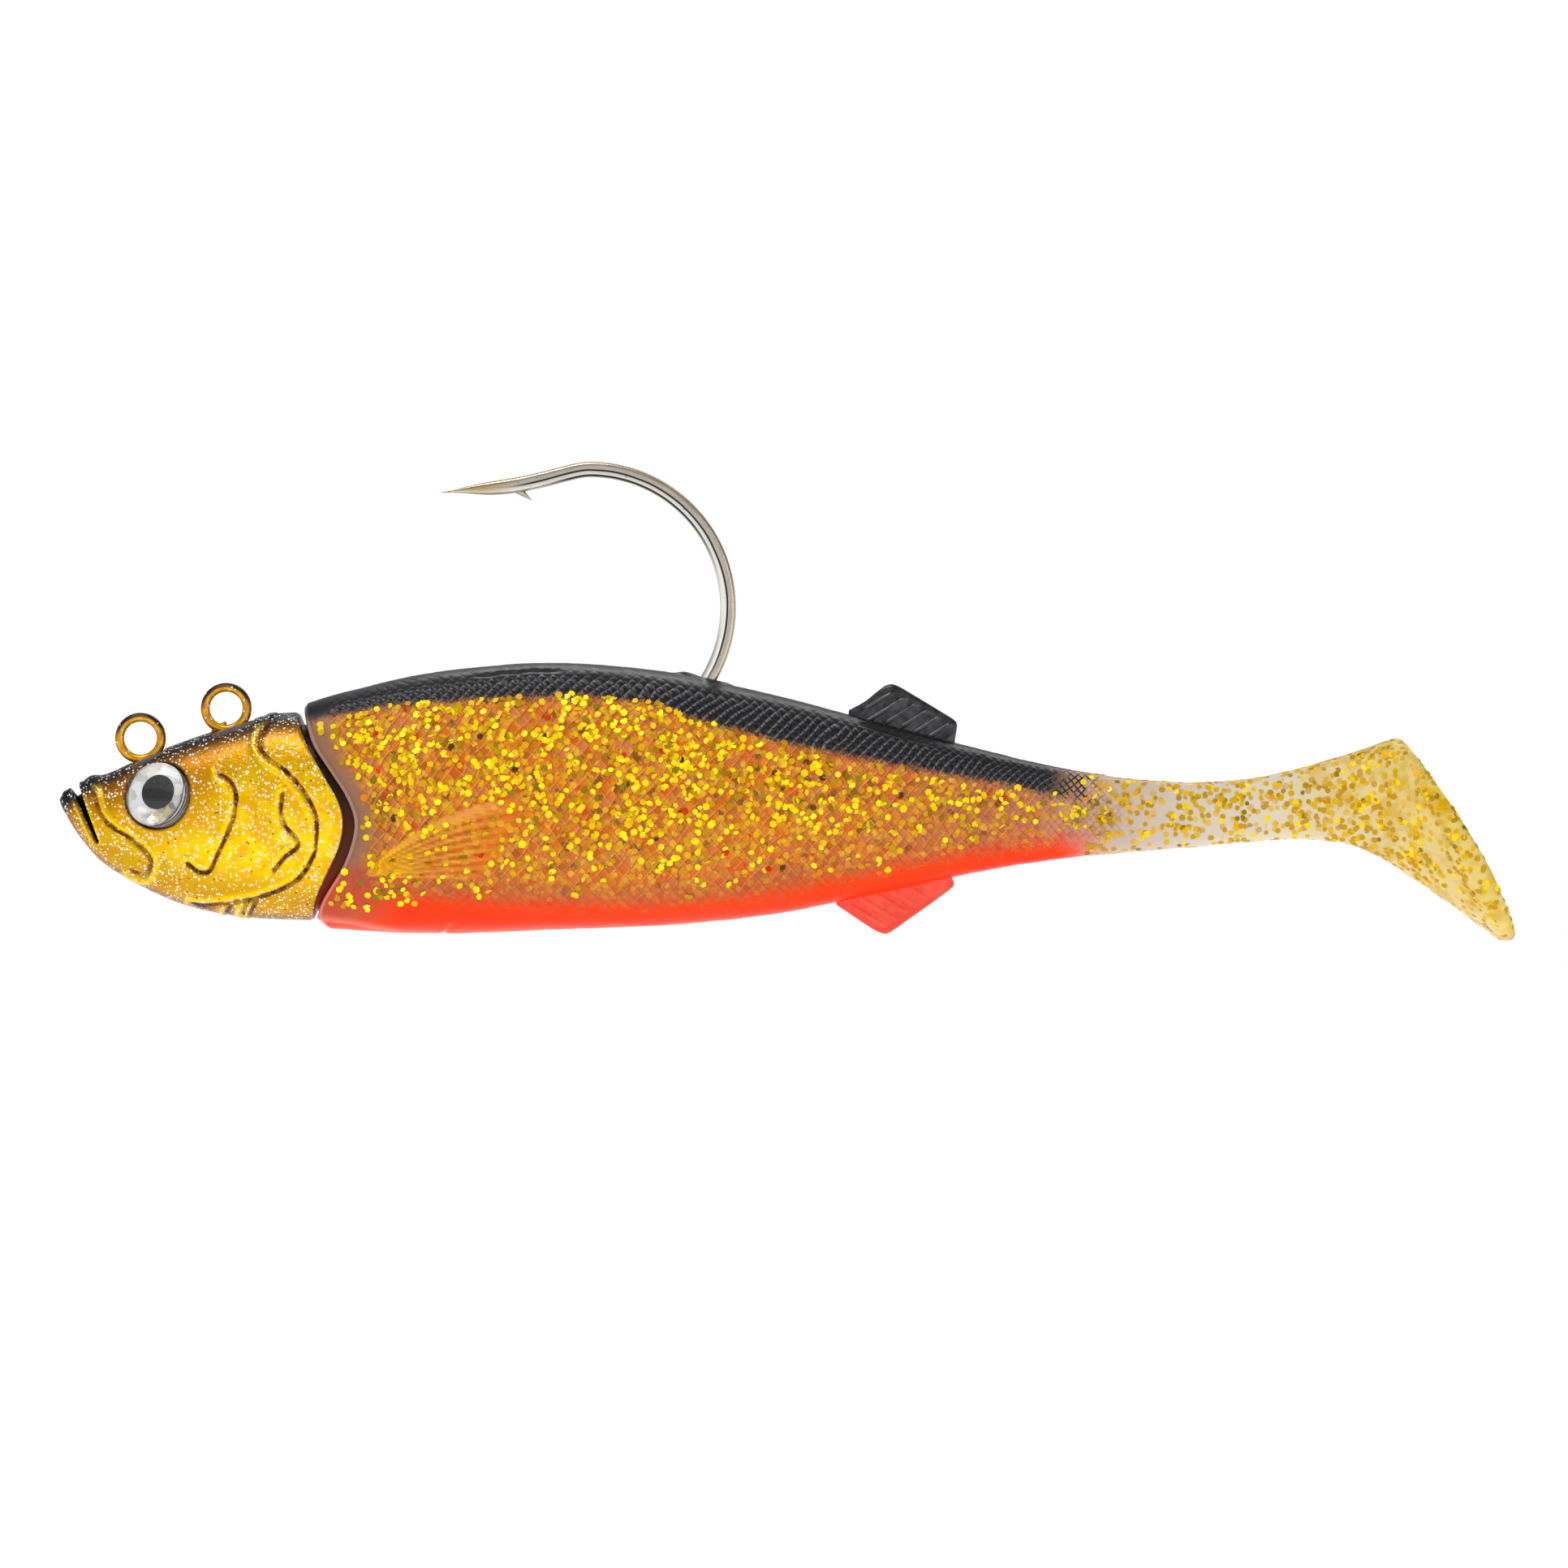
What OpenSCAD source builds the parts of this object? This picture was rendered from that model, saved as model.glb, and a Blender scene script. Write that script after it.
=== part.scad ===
// Jig-head swimbait: a lead head cast round one big hook and two wire line ties,
// carrying a soft plastic fish body with a swinging paddle tail.
// Millimetres. X runs from nose to tail, Y across, Z up.
// The origin is the centre of the nose line tie.

/* [Head] */
// half width of the head at its rear edge
head_half_w = 10.8; // [9:0.1:11.4]
// eye diameter over the clear dome
eye_d = 10; // [8:0.5:11]
// eye swing towards the nose, degrees
eye_fore = 22; // [15:1:28]
// eye tilt towards the back, degrees
eye_up = 13; // [5:1:20]
// length of the barbed keeper behind the neck
keeper_len = 20; // [14:1:24]

/* [Line ties] */
// clear inside diameter of both line ties
tie_bore_d = 5.1; // [4.5:0.1:5.5]
// wire diameter of both line ties
tie_wire_d = 1.4; // [1.2:0.05:1.6]

/* [Hook] */
// hook wire height in the plane of the bend
hook_wire = 2.4; // [2:0.1:2.8]
// hook wire thickness across the forged bend
hook_flat = 1.9; // [1.6:0.1:2.4]
// centreline radius of the round bend
hook_bend_r = 21.3; // [20.5:0.1:21.6]

/* [Soft body] */
// half width of the soft body at its thickest
body_half_w = 12.6; // [11.5:0.1:14]
// half width of the paddle across its rim
paddle_half_w = 11.6; // [9:0.1:14]
// thickness of the two fins
fin_t = 1.4; // [1.2:0.1:1.8]

/* [Flex] */
// clearance between parts that swing against each other
flex_gap = 0.35; // [0.3:0.05:0.6]
// swing of the rear body each way, degrees
rear_swing = 12; // [6:1:14]
// swing of the tail stem each way, degrees
stem_swing = 30; // [15:1:32]
// swing of the paddle each way, degrees
paddle_swing = 35; // [20:1:38]

/* [Hidden] */
$fn = 64;
e = 2.3;                       // roundness of the fish sections
shank_slope = 6;               // the shank drops towards the nose
bend_c = [69.2, 20.1];          // centre of the hook bend (X, Z)
shank_end = bend_c + hook_bend_r * [sin(shank_slope), -cos(shank_slope)];
shank_r = hook_wire / 2 - 0.05;
shank_l = 63.5;                // straight shank from the bend into the head
neck_x0 = 16;                  // plug behind the head that fills the body recess
neck_x1 = 36.5;
x_rear = 103;                  // swing axes along the body
x_stem = 151;
x_paddle = 178;
tie_r = tie_bore_d / 2;
nose_tie = [0, 0, 0];
top_tie = [13.2, 0, 4.6];
eye_at = [3.2, -7.25, -8.7];
fin_gap = fin_t / 2 + 0.1 + flex_gap;  // fin hinge axis above the skin

body_x0 = 24.3;                // front edge of the soft body
lip_fade = 20;                 // length over which its curved front edge fades out
stem_share = 0.26;             // half width of the tail stem, as a share of the body
paddle_x0 = 174;               // where the stem starts to flare into the paddle
flare_top = 18.6;              // run of the flare along the top
flare_bottom = 35.2;           // run of the flare along the bottom
neck_share = 0.87;             // neck plug half width, as a share of the head
neck_top = 2.1;
neck_bottom = -26.6;

// outlines: [X, value]
head_top = [[-12.4, -9.3], [-11.8, -8.2], [-10.2, -7.7], [-9.1, -6.9], [-7.6, -5.8], [-5.5, -5.6],
    [-1, -3.6], [8, 0], [16, 2.6], [20.3, 3.7], [24, 4]];
head_bot = [[-12.4, -9.7], [-12.1, -10.6], [-11.1, -12.4], [-8.9, -15.7], [-6, -19], [-1, -22.1],
    [4, -24.6], [9.6, -26.5], [16, -27.7], [24, -28]];
head_wid = [[-12.4, 0.05], [-11.8, 0.14], [-10, 0.26], [-7.5, 0.38], [-3, 0.54], [3, 0.71], [9, 0.85],
    [16, 0.95], [24, 1]];
body_top = [[24, 5], [32, 7.4], [44, 10], [62, 11.7], [80, 10.4], [97, 6.9], [110, 3.5], [128, -1.3],
    [145, -5.1], [160, -6.7], [172, -6], [184, -3], [193.6, 0.2]];
body_bot = [[24, -29.3], [46, -30.1], [62, -29.6], [80, -28.8], [97, -27.2], [112, -24.3],
    [128, -20.8], [145, -18.2], [160, -16.9], [178, -15.6], [188, -17], [198.8, -23.6], [209.4, -31.2]];
body_wid = [[24, 0.84], [32, 0.92], [46, 0.98], [62, 1], [80, 0.95], [97, 0.8], [112, 0.65],
    [128, 0.49], [145, 0.35], [160, 0.28], [178, 0.26]];
// how far the head's rear edge and the body's front edge stand back: [Z, distance]
head_back = [[-28, 2.2], [-24, 3.4], [-20, 5.3], [-16, 7], [-12.5, 7.4], [-9.5, 6.6], [-6, 4.6],
    [-2, 2.3], [1, 0.9], [4, 0]];
body_front = [[-30, 4.1], [-27.6, 2.7], [-25, 3.4], [-20, 6.5], [-16, 8.1], [-12.6, 8.5], [-9, 7.2],
    [-5, 4.6], [-1, 2], [5, 0]];

// smooth curve through a list of [x, value]
function seg(p, x, i = 0) = (i >= len(p) - 2 || x < p[i + 1][0]) ? i : seg(p, x, i + 1);
function grad(p, i) =
    let (a = max(0, i - 1), b = min(len(p) - 1, i + 1)) (p[b][1] - p[a][1]) / (p[b][0] - p[a][0]);
function curve(p, x) =
    let (i = seg(p, x), h = p[i + 1][0] - p[i][0], t = min(1, max(0, (x - p[i][0]) / h)))
    p[i][1] * (2*t*t*t - 3*t*t + 1) + grad(p, i) * h * (t*t*t - 2*t*t + t)
    + p[i + 1][1] * (3*t*t - 2*t*t*t) + grad(p, i + 1) * h * (t*t*t - t*t);
function ease(t) = let (u = min(1, max(0, t))) u * u * (3 - 2 * u);
function spow(v, q) = sign(v) * pow(abs(v), q);

// n points round a fish section of half width w between two heights
function section(n, w, hi, lo, q = e) =
    [for (k = [0 : n - 1]) let (a = 360 * (k + 0.5) / n)
        [w * spow(cos(a), 2 / q), (hi + lo) / 2 + (hi - lo) / 2 * spow(sin(a), 2 / q)]];

// solid through rings of equal length; both ends are closed straight across
module loft(r) {
    n = len(r[0]); m = len(r); q = n / 4;
    function up(j) = (q - 1 - j + n) % n;
    function dn(j) = q + j;
    pts = [for (s = r) each s];
    sides = [for (i = [0 : m - 2], k = [0 : n - 1])
        let (a = i * n + k, b = i * n + (k + 1) % n) each [[a, a + n, b], [b, a + n, b + n]]];
    last = (m - 1) * n;
    front = [for (j = [0 : n / 2 - 2]) [dn(j), dn(j + 1), up(j + 1), up(j)]];
    back = [for (f = front) [for (i = [3 : -1 : 0]) last + f[i]]];
    polyhedron(points = pts, faces = concat(sides, front, back), convexity = 8);
}

// a stretch of the fish between two stations, with evenly spaced rings
module fish(x0, x1, rings, n = 36) {
    loft([for (i = [0 : rings]) let (x = x0 + (x1 - x0) * i / rings)
        [for (p = section(n, body_half_w * curve(body_wid, x), curve(body_top, x) + 0.1,
                          curve(body_bot, x) - 0.15))
            [x + curve(body_front, p[1]) * (1 - ease((x - body_x0) / lip_fade)), p[0], p[1]]]]);
}

// the space behind a swing axis: a wedge that clears the swing plus a round knuckle
module swing_space(x, half_angle, r) {
    w = 30; t = w * tan(half_angle);
    translate([x, 0, -45]) {
        linear_extrude(90) polygon([[0, 0], [t, w], [120, w], [120, -w], [t, -w]]);
        cylinder(r = r, h = 90);
    }
}
module before(x, swing, r) {
    difference() {
        children();
        swing_space(x, -(swing / 2 + 2), r + flex_gap);
    }
}
module behind(x, swing, r) {
    intersection() {
        children();
        swing_space(x, swing / 2 + 2, r);
    }
}

// local X along the shank, starting where the bend begins
module on_shank() {
    translate([shank_end[0], 0, shank_end[1]]) rotate([0, -shank_slope, 0]) children();
}
module rod(x0, x1, r1, r2) {
    translate([x0, 0, 0]) rotate([0, 90, 0]) cylinder(r1 = r1, r2 = r2, h = x1 - x0);
}
// lead sleeve round the shank with two barbs that point forward
module keeper(g) {
    tip = -36 + keeper_len;
    on_shank() {
        rod(-40, tip + g, 4.4 + g, 4.4 + g);
        for (b = [tip - 3, tip - 10]) rod(b - 5 - g, b + g, 6.4 + g, 4.2 + g);
    }
}
// plug of the head's outline, drawn in by a few millimetres
module neck(g, x0 = neck_x0) {
    translate([x0, 0, 0]) rotate([90, 0, 90])
        linear_extrude(neck_x1 + g - x0)
            polygon(section(40, neck_share * head_half_w + g, neck_top + g, neck_bottom - g));
}

module eye_frame(side) {
    mirror([0, side < 0 ? 0 : 1, 0]) translate(eye_at) rotate([90 - eye_up, 0, -eye_fore]) children();
}

// closed wire ring with a flat inner land and two legs that anchor it
module tie_ring(at, legs) {
    translate(at) {
        rotate([90, 0, 0]) difference() {
            rotate_extrude() translate([tie_r + tie_wire_d / 2 - 0.05, 0]) circle(tie_wire_d / 2 + 0.02);
            cylinder(r = tie_r, h = 4, center = true);
        }
        tie_legs(legs, tie_wire_d / 2 - 0.05);
    }
}
module tie_legs(legs, r) {
    for (l = legs) let (d = l[1] - l[0])
        translate([l[0][0], 0, l[0][1]]) rotate([0, atan2(d[0], d[1]), 0]) cylinder(r = r, h = norm(d));
}
nose_legs = [[[0.3, -3.2], [1.2, -10.5]], [[1.9, -2.6], [3.4, -10.2]]];
top_legs = [[[0.3, -3.2], [-0.4, -7.9]], [[1.7, -2.75], [2.2, -7.6]]];
// slot in the lead for the buried part of a ring, with holes for its legs
module tie_seat(at, legs) {
    w = tie_wire_d / 2 + 0.06; r0 = tie_r - 0.05; r1 = tie_r + tie_wire_d + 0.05;
    translate(at) {
        translate([0, w, 0]) rotate([90, 0, 0]) linear_extrude(2 * w)
            polygon(concat([for (a = [-120 : 10 : -10]) r1 * [cos(a), sin(a)]],
                           [for (a = [-10 : -10 : -120]) r0 * [cos(a), sin(a)]]));
        tie_legs(legs, tie_wire_d / 2);
    }
}

head_rings = [-12.3, -12, -11.5, -10.8, -10, -9, -7.8, -6, -4, -1.5, 1.5, 4.5, 7.5, 10.5, 13.5, 16.5,
    19.5, 22, 24];
// lead casting: head, neck plug and barbed keeper, with seats for everything cast in
module jig_head() {
    color([0.95, 0.72, 0.05]) difference() {
        union() {
            loft([for (s = head_rings)
                [for (p = section(40, head_half_w * curve(head_wid, s), curve(head_top, s),
                                  curve(head_bot, s)))
                    [s + curve(head_back, p[1]) * ease((s - 5) / 19), p[0], p[1]]]]);
            neck(0);
            keeper(0);
        }
        for (side = [-1, 1]) {
            // half of the mouth slit
            scale([1, side, 1]) translate([0, 1.8, 0]) rotate([90, 0, 180]) mirror([1, 0, 0])
                linear_extrude(12) polygon([[-10.3, -6.2], [-9.3, -6.2], [-6, -15.6], [-6.8, -16.2]]);
            eye_frame(side) translate([0, 0, -2.2]) cylinder(d = eye_d + 0.3, h = 12);
        }
        on_shank() rod(-shank_l - 0.1, 40, shank_r + 0.05, shank_r + 0.05);
        tie_seat(nose_tie, nose_legs);
        tie_seat(top_tie, top_legs);
    }
}

module nose_line_tie() { color([0.85, 0.6, 0.1]) tie_ring(nose_tie, nose_legs); }
module top_line_tie() { color([0.85, 0.6, 0.1]) tie_ring(top_tie, top_legs); }

// one eye is three discs: adhesive pad, printed foil, clear domed resin
module eye_pad_body(side) { eye_frame(side) translate([0, 0, -2.15]) cylinder(d = eye_d - 0.5, h = 1.1); }
module eye_foil_body(side) { eye_frame(side) translate([0, 0, -1]) cylinder(d = eye_d - 0.6, h = 0.2); }
module eye_dome_body(side) {
    r = eye_d / 2; rise = 1.4; rs = (r * r + rise * rise) / (2 * rise);
    eye_frame(side) intersection() {
        translate([0, 0, -0.75]) cylinder(r = r, h = 4);
        translate([0, 0, 0.5 + rise - rs]) sphere(r = rs);
    }
}
module left_eye_pad() { color([0.9, 0.9, 0.88]) eye_pad_body(-1); }
module right_eye_pad() { color([0.9, 0.9, 0.88]) eye_pad_body(1); }
module left_eye_foil() { color([0.8, 0.82, 0.85]) eye_foil_body(-1); }
module right_eye_foil() { color([0.8, 0.82, 0.85]) eye_foil_body(1); }
module left_eye_dome() { color([0.85, 0.9, 0.95, 0.5]) eye_dome_body(-1); }
module right_eye_dome() { color([0.85, 0.9, 0.95, 0.5]) eye_dome_body(1); }

// hook: ground point and spear, round bend, straight shank; flattened on the bend
spear = [[46.3, 37.85], [50, 38.2], [54, 38.5], [58, 39], [62, 39.85], [66, 40.8],
    bend_c + [0, hook_bend_r]];
spear_h = [[46.3, 0.04], [49.6, 0.36], [51.6, 0.62], [54, 0.86], [57, 0.97], [70, 1]];
function ring_at(p, a, h, w, n = 14) =
    [for (k = [0 : n - 1])
        let (b = 360 * (k + 0.5) / n, u = h * spow(sin(b), 0.85), v = w * spow(cos(b), 0.85))
        [p[0] + u * cos(a), v, p[1] + u * sin(a)]];
module hook() {
    h = hook_wire / 2; w = hook_flat / 2;
    tip = [for (i = [0 : 13]) let (x = 46.3 + (bend_c[0] - 46.3) * pow(i / 14, 1.3), f = curve(spear_h, x),
            g = atan2(curve(spear, x + 0.05) - curve(spear, x - 0.05), 0.1))
        ring_at([x, curve(spear, x)], 90 + g, h * f, w * f)];
    bend = [for (i = [0 : 40]) let (a = 90 - (180 - shank_slope) * i / 40)
        ring_at(bend_c + hook_bend_r * [cos(a), sin(a)], a, h, w)];
    shank = [for (d = [4, shank_l]) ring_at(shank_end - d * [cos(shank_slope), sin(shank_slope)],
        -90 + shank_slope, shank_r, shank_r)];
    color([0.75, 0.75, 0.76]) union() {
        tube(concat(tip, bend, shank));
        // barb
        translate([0, 0.4, 0]) rotate([90, 0, 0]) linear_extrude(0.8)
            polygon([[57.2, 38.6], [57.7, 37.95], [60.3, 36.65], [59.6, 38.6]]);
    }
}
module tube(r) {
    n = len(r[0]); m = len(r);
    sides = [for (i = [0 : m - 2], k = [0 : n - 1])
        let (a = i * n + k, b = i * n + (k + 1) % n) each [[a, a + n, b], [b, a + n, b + n]]];
    polyhedron(points = [for (s = r) each s], faces = concat(sides,
        [[for (k = [0 : n - 1]) k]], [[for (k = [n - 1 : -1 : 0]) (m - 1) * n + k]]), convexity = 8);
}

// slot in the soft body for the shank and for the bend on its way out of the back
module hook_slot() {
    c = hook_wire / 2 + 0.25;
    on_shank() rod(-20, 0.5, shank_r + 0.2, shank_r + 0.2);
    translate([0, hook_flat / 2 + 0.25, 0]) rotate([90, 0, 0]) linear_extrude(hook_flat + 0.5) {
        polygon(concat([for (a = [-86 : 6 : -20]) bend_c + (hook_bend_r + c) * [cos(a), sin(a)]],
                       [for (a = [-20 : -6 : -86]) bend_c + (hook_bend_r - c) * [cos(a), sin(a)]]));
    }
    translate([0, 0.7, 0]) rotate([90, 0, 0]) linear_extrude(1.4)
        polygon([[82.5, 16], [82.5, 8.2], [85.5, 6.2], [87, 16]]);
}

module soft_body() {
    color([0.75, 0.42, 0.2]) before(x_rear, rear_swing, 5) difference() {
        fish(body_x0, 109, 24);
        neck(0.15, 10);
        keeper(0.1);
        hook_slot();
    }
}
module rear_body() {
    color([0.72, 0.42, 0.22]) before(x_stem, stem_swing, 2.2) behind(x_rear, rear_swing, 5)
        fish(94, 154, 18);
}
module tail_stem() {
    color([0.85, 0.78, 0.68]) before(x_paddle, paddle_swing, 1.8) behind(x_stem, stem_swing, 2.2)
        fish(147, 181, 12, 32);
}

// paddle: the stem's section tips over and flares into a slanted oval rim with a domed back
module paddle_tail() {
    n = 32; w0 = stem_share * body_half_w;
    color([0.92, 0.84, 0.6]) behind(x_paddle, paddle_swing, 1.8) loft(concat(
        [for (i = [0 : 16])
            let (t = i / 16, xt = paddle_x0 + flare_top * t, xb = paddle_x0 + flare_bottom * t)
            rim(n, [xt, curve(body_top, xt) + 0.1], [xb, curve(body_bot, xb) - 0.1],
                w0 + (paddle_half_w - w0) * pow(t, 3.6), 2.3 - 0.3 * t, 0)],
        [rim(n, [194.2, -0.2], [211.3, -31.1], paddle_half_w + 0.1, 2, 0.7),
         rim(n, [194.8, -1.6], [211.6, -29.8], paddle_half_w - 0.7, 2, 1.2)]));
}
// oval ring whose long axis runs from one point (X, Z) to another
function rim(n, hi, lo, w, q, bulge) =
    [for (p = section(n, w, 1, -1, q)) let (f = (p[1] + 1) / 2, c = lo + (hi - lo) * f)
        [c[0] + 4 * bulge * f * (1 - f), p[0], c[1]]];

// fins: flat blades with a rounded root that rolls just clear of the skin
module fin(a, b, outline) {
    d = b - a; r = fin_t / 2 + 0.1;
    translate([0, fin_t / 2, 0]) rotate([90, 0, 0]) linear_extrude(fin_t) polygon(outline);
    translate([a[0], 0, a[1]]) rotate([0, atan2(d[0], d[1]), 0]) cylinder(r = r, h = norm(d));
}
function dorsal_at(x) = [x, 3.9 - 0.269 * (x - 109.1) + fin_gap + 0.1];
function anal_at(x) = [x, -25.2 + 0.224 * (x - 107.2) - fin_gap - 0.3];
module dorsal_fin() {
    a = dorsal_at(110.7); b = dorsal_at(125);
    color([0.16, 0.16, 0.18]) fin(a, b, [a, [114.8, 8.1], [116.2, 8.1], [125.3, 2.8], [125.8, 2], b]);
}
module anal_fin() {
    a = anal_at(108.2); b = anal_at(123.6);
    color([0.9, 0.3, 0.15]) fin(a, b, [a, [113.6, -29.9], [115.2, -30], [125.1, -22.9], [125.2, -22.3], b]);
}

jig_head();
nose_line_tie();
top_line_tie();
hook();
left_eye_pad();
right_eye_pad();
left_eye_foil();
right_eye_foil();
left_eye_dome();
right_eye_dome();
soft_body();
rear_body();
tail_stem();
paddle_tail();
dorsal_fin();
anal_fin();
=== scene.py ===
import math
import bpy
import numpy as np
from mathutils import Matrix, Vector
from mathutils.kdtree import KDTree


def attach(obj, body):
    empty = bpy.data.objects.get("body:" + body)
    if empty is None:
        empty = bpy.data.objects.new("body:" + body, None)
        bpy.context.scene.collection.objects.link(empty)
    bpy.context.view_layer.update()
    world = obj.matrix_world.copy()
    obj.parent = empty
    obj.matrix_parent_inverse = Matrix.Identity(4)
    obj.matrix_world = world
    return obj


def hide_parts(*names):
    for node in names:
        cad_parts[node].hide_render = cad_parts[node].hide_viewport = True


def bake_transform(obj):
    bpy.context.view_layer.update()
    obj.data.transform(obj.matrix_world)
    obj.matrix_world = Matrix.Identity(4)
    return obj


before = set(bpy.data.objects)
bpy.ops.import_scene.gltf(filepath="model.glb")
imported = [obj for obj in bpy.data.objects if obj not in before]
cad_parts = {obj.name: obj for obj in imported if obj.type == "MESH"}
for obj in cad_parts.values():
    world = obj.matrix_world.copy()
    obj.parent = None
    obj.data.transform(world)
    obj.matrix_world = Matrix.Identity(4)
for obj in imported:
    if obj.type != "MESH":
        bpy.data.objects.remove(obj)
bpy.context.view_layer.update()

MM = 0.001
rng = np.random.default_rng(7)

# ---------------------------------------------------------------- camera, light, floor
VIEW_W = 0.2415          # metres across the picture at the object
LENS, SENSOR = 150.0, 36.0
VIEW_X, VIEW_Z = 0.0991, -0.00706
cam_data = bpy.data.cameras.new("camera")
cam_data.lens, cam_data.sensor_width = LENS, SENSOR
cam_data.clip_start, cam_data.clip_end = 0.05, 20       # metres
camera = bpy.data.objects.new("camera", cam_data)
camera.location = (VIEW_X, -VIEW_W * LENS / SENSOR, VIEW_Z)
camera.rotation_euler = (math.radians(90), 0, 0)
scene = bpy.context.scene
scene.collection.objects.link(camera)
scene.camera = camera
scene.view_settings.view_transform = "Standard"

world = bpy.data.worlds.new("studio")
scene.world = world
world.use_nodes = True
wt = world.node_tree
sky = wt.nodes["Background"]
where = wt.nodes.new("ShaderNodeTexCoord")
split_up = wt.nodes.new("ShaderNodeSeparateXYZ")
glow = wt.nodes.new("ShaderNodeValToRGB")
wt.links.new(where.outputs["Generated"], split_up.inputs[0])
wt.links.new(split_up.outputs[2], glow.inputs[0])
wt.links.new(glow.outputs[0], sky.inputs["Color"])
HORIZON, OVERHEAD = (0.125, (1.02, 1.02, 1.02, 1)), (0.22, (0.38, 0.38, 0.39, 1))       # height and colour
for stop, (height, colour) in zip(glow.color_ramp.elements, (HORIZON, OVERHEAD)):
    stop.position, stop.color = height, colour


def softbox(name, at, size, power):
    data = bpy.data.lights.new(name, "AREA")
    data.shape, data.size, data.size_y, data.energy = "RECTANGLE", size[0], size[1], power
    lamp = bpy.data.objects.new(name, data)
    lamp.location = at
    lamp.rotation_euler = (Vector((VIEW_X, 0, VIEW_Z)) - Vector(at)).to_track_quat("-Z", "Y").to_euler()
    scene.collection.objects.link(lamp)


softbox("key", (-0.15, -0.38, 0.85), (0.7, 0.3), 4.2)
softbox("back", (0.3, 0.5, 0.7), (0.9, 0.25), 2.0)
softbox("side", (0.7, -0.9, 0.15), (0.3, 0.6), 0.9)


# ---------------------------------------------------------------- numbers and curves
def ease(t):
    u = np.clip(t, 0, 1)
    return u * u * (3 - 2 * u)


def curve(table, x):
    p = np.array(table, float)
    x = np.asarray(x, float)
    g = np.empty(len(p))
    g[1:-1] = (p[2:, 1] - p[:-2, 1]) / (p[2:, 0] - p[:-2, 0])
    g[0] = (p[1, 1] - p[0, 1]) / (p[1, 0] - p[0, 0])
    g[-1] = (p[-1, 1] - p[-2, 1]) / (p[-1, 0] - p[-2, 0])
    i = np.clip(np.searchsorted(p[:, 0], x, side="right") - 1, 0, len(p) - 2)
    h = p[i + 1, 0] - p[i, 0]
    t = np.clip((x - p[i, 0]) / h, 0, 1)
    return (p[i, 1] * (2 * t**3 - 3 * t**2 + 1) + g[i] * h * (t**3 - 2 * t**2 + t)
            + p[i + 1, 1] * (3 * t**2 - 2 * t**3) + g[i + 1] * h * (t**3 - t**2))


def outline(n, w, hi, lo, q):
    """Even points round a fish section from its left middle over the top: y, z, distance round it."""
    m = n // 4
    a = np.linspace(0, math.pi / 2, 600)
    y, z = w * np.cos(a) ** (2 / q), (hi - lo) / 2 * np.sin(a) ** (2 / q)
    run = np.concatenate([[0], np.cumsum(np.hypot(np.diff(y), np.diff(z)))])
    at = np.linspace(0, run[-1], m + 1)
    y, z = np.interp(at, run, y), np.interp(at, run, z)
    ys = np.concatenate([-y[:-1], y[:0:-1], y[:-1], -y[:0:-1]])
    zs = np.concatenate([z[:-1], z[:0:-1], -z[:-1], -z[:0:-1]])
    ls = np.concatenate([at[:-1], at[:0:-1], -at[:-1], -at[:0:-1]])
    return ys, zs + (hi + lo) / 2, ls


def polyline_distance(x, z, pts):
    """Distance of points to an open polyline, and the signed side of the nearest stretch."""
    best, side = np.full(x.shape, 1e9), np.zeros(x.shape)
    for (ax, az), (bx, bz) in zip(pts[:-1], pts[1:]):
        dx, dz = bx - ax, bz - az
        t = np.clip(((x - ax) * dx + (z - az) * dz) / (dx * dx + dz * dz), 0, 1)
        d = np.hypot(x - ax - t * dx, z - az - t * dz)
        near = d < best
        best = np.where(near, d, best)
        side = np.where(near, np.sign(dx * (z - az) - dz * (x - ax)), side)
    return best, side


def smooth_path(pts, steps=8):
    """Catmull-Rom points through a polyline."""
    p = np.array(pts, float)
    p = np.vstack([2 * p[0] - p[1], p, 2 * p[-1] - p[-2]])
    out = []
    for i in range(1, len(p) - 2):
        for t in np.linspace(0, 1, steps, endpoint=False):
            a, b, c, d = p[i - 1:i + 3]
            square, cube = 2 * a - 5 * b + 4 * c - d, 3 * b - a - 3 * c + d
            out.append(0.5 * (2 * b + (c - a) * t + square * t**2 + cube * t**3))
    return [tuple(v) for v in out] + [tuple(p[-2])]


def value_noise(x, y, z, seed, size):
    """Smooth random field, 0 to 1, with lumps of the given size."""
    r = np.random.default_rng(seed).random((32, 32, 32))
    q = [np.asarray(v) / size for v in (x, y, z)]
    i = [np.floor(v).astype(int) for v in q]
    f = [ease(v - k) for v, k in zip(q, i)]
    total = 0
    for a in (0, 1):
        for b in (0, 1):
            for c in (0, 1):
                wgt = (f[0] if a else 1 - f[0]) * (f[1] if b else 1 - f[1]) * (f[2] if c else 1 - f[2])
                total = total + wgt * r[(i[0] + a) % 32, (i[1] + b) % 32, (i[2] + c) % 32]
    return total


# ---------------------------------------------------------------- meshes
def new_object(name, verts, faces, attrs=(), smooth=True, normals=None):
    """Verts in mm. attrs: {name: (n,) or (n, 3) values per vertex}."""
    me = bpy.data.meshes.new(name)
    me.from_pydata((np.asarray(verts) * MM).tolist(), [], faces)
    for key, v in dict(attrs).items():
        v = np.asarray(v, np.float32)
        kind = "FLOAT" if v.ndim == 1 else "FLOAT_VECTOR"
        a = me.attributes.new(key, kind, "POINT")
        a.data.foreach_set("value" if v.ndim == 1 else "vector", v.ravel())
    me.polygons.foreach_set("use_smooth", [smooth] * len(me.polygons))
    me.validate()
    me.update()
    if normals is not None:
        me.normals_split_custom_set_from_vertices(np.asarray(normals).tolist())
    ob = bpy.data.objects.new(name, me)
    scene.collection.objects.link(ob)
    return ob


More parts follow.
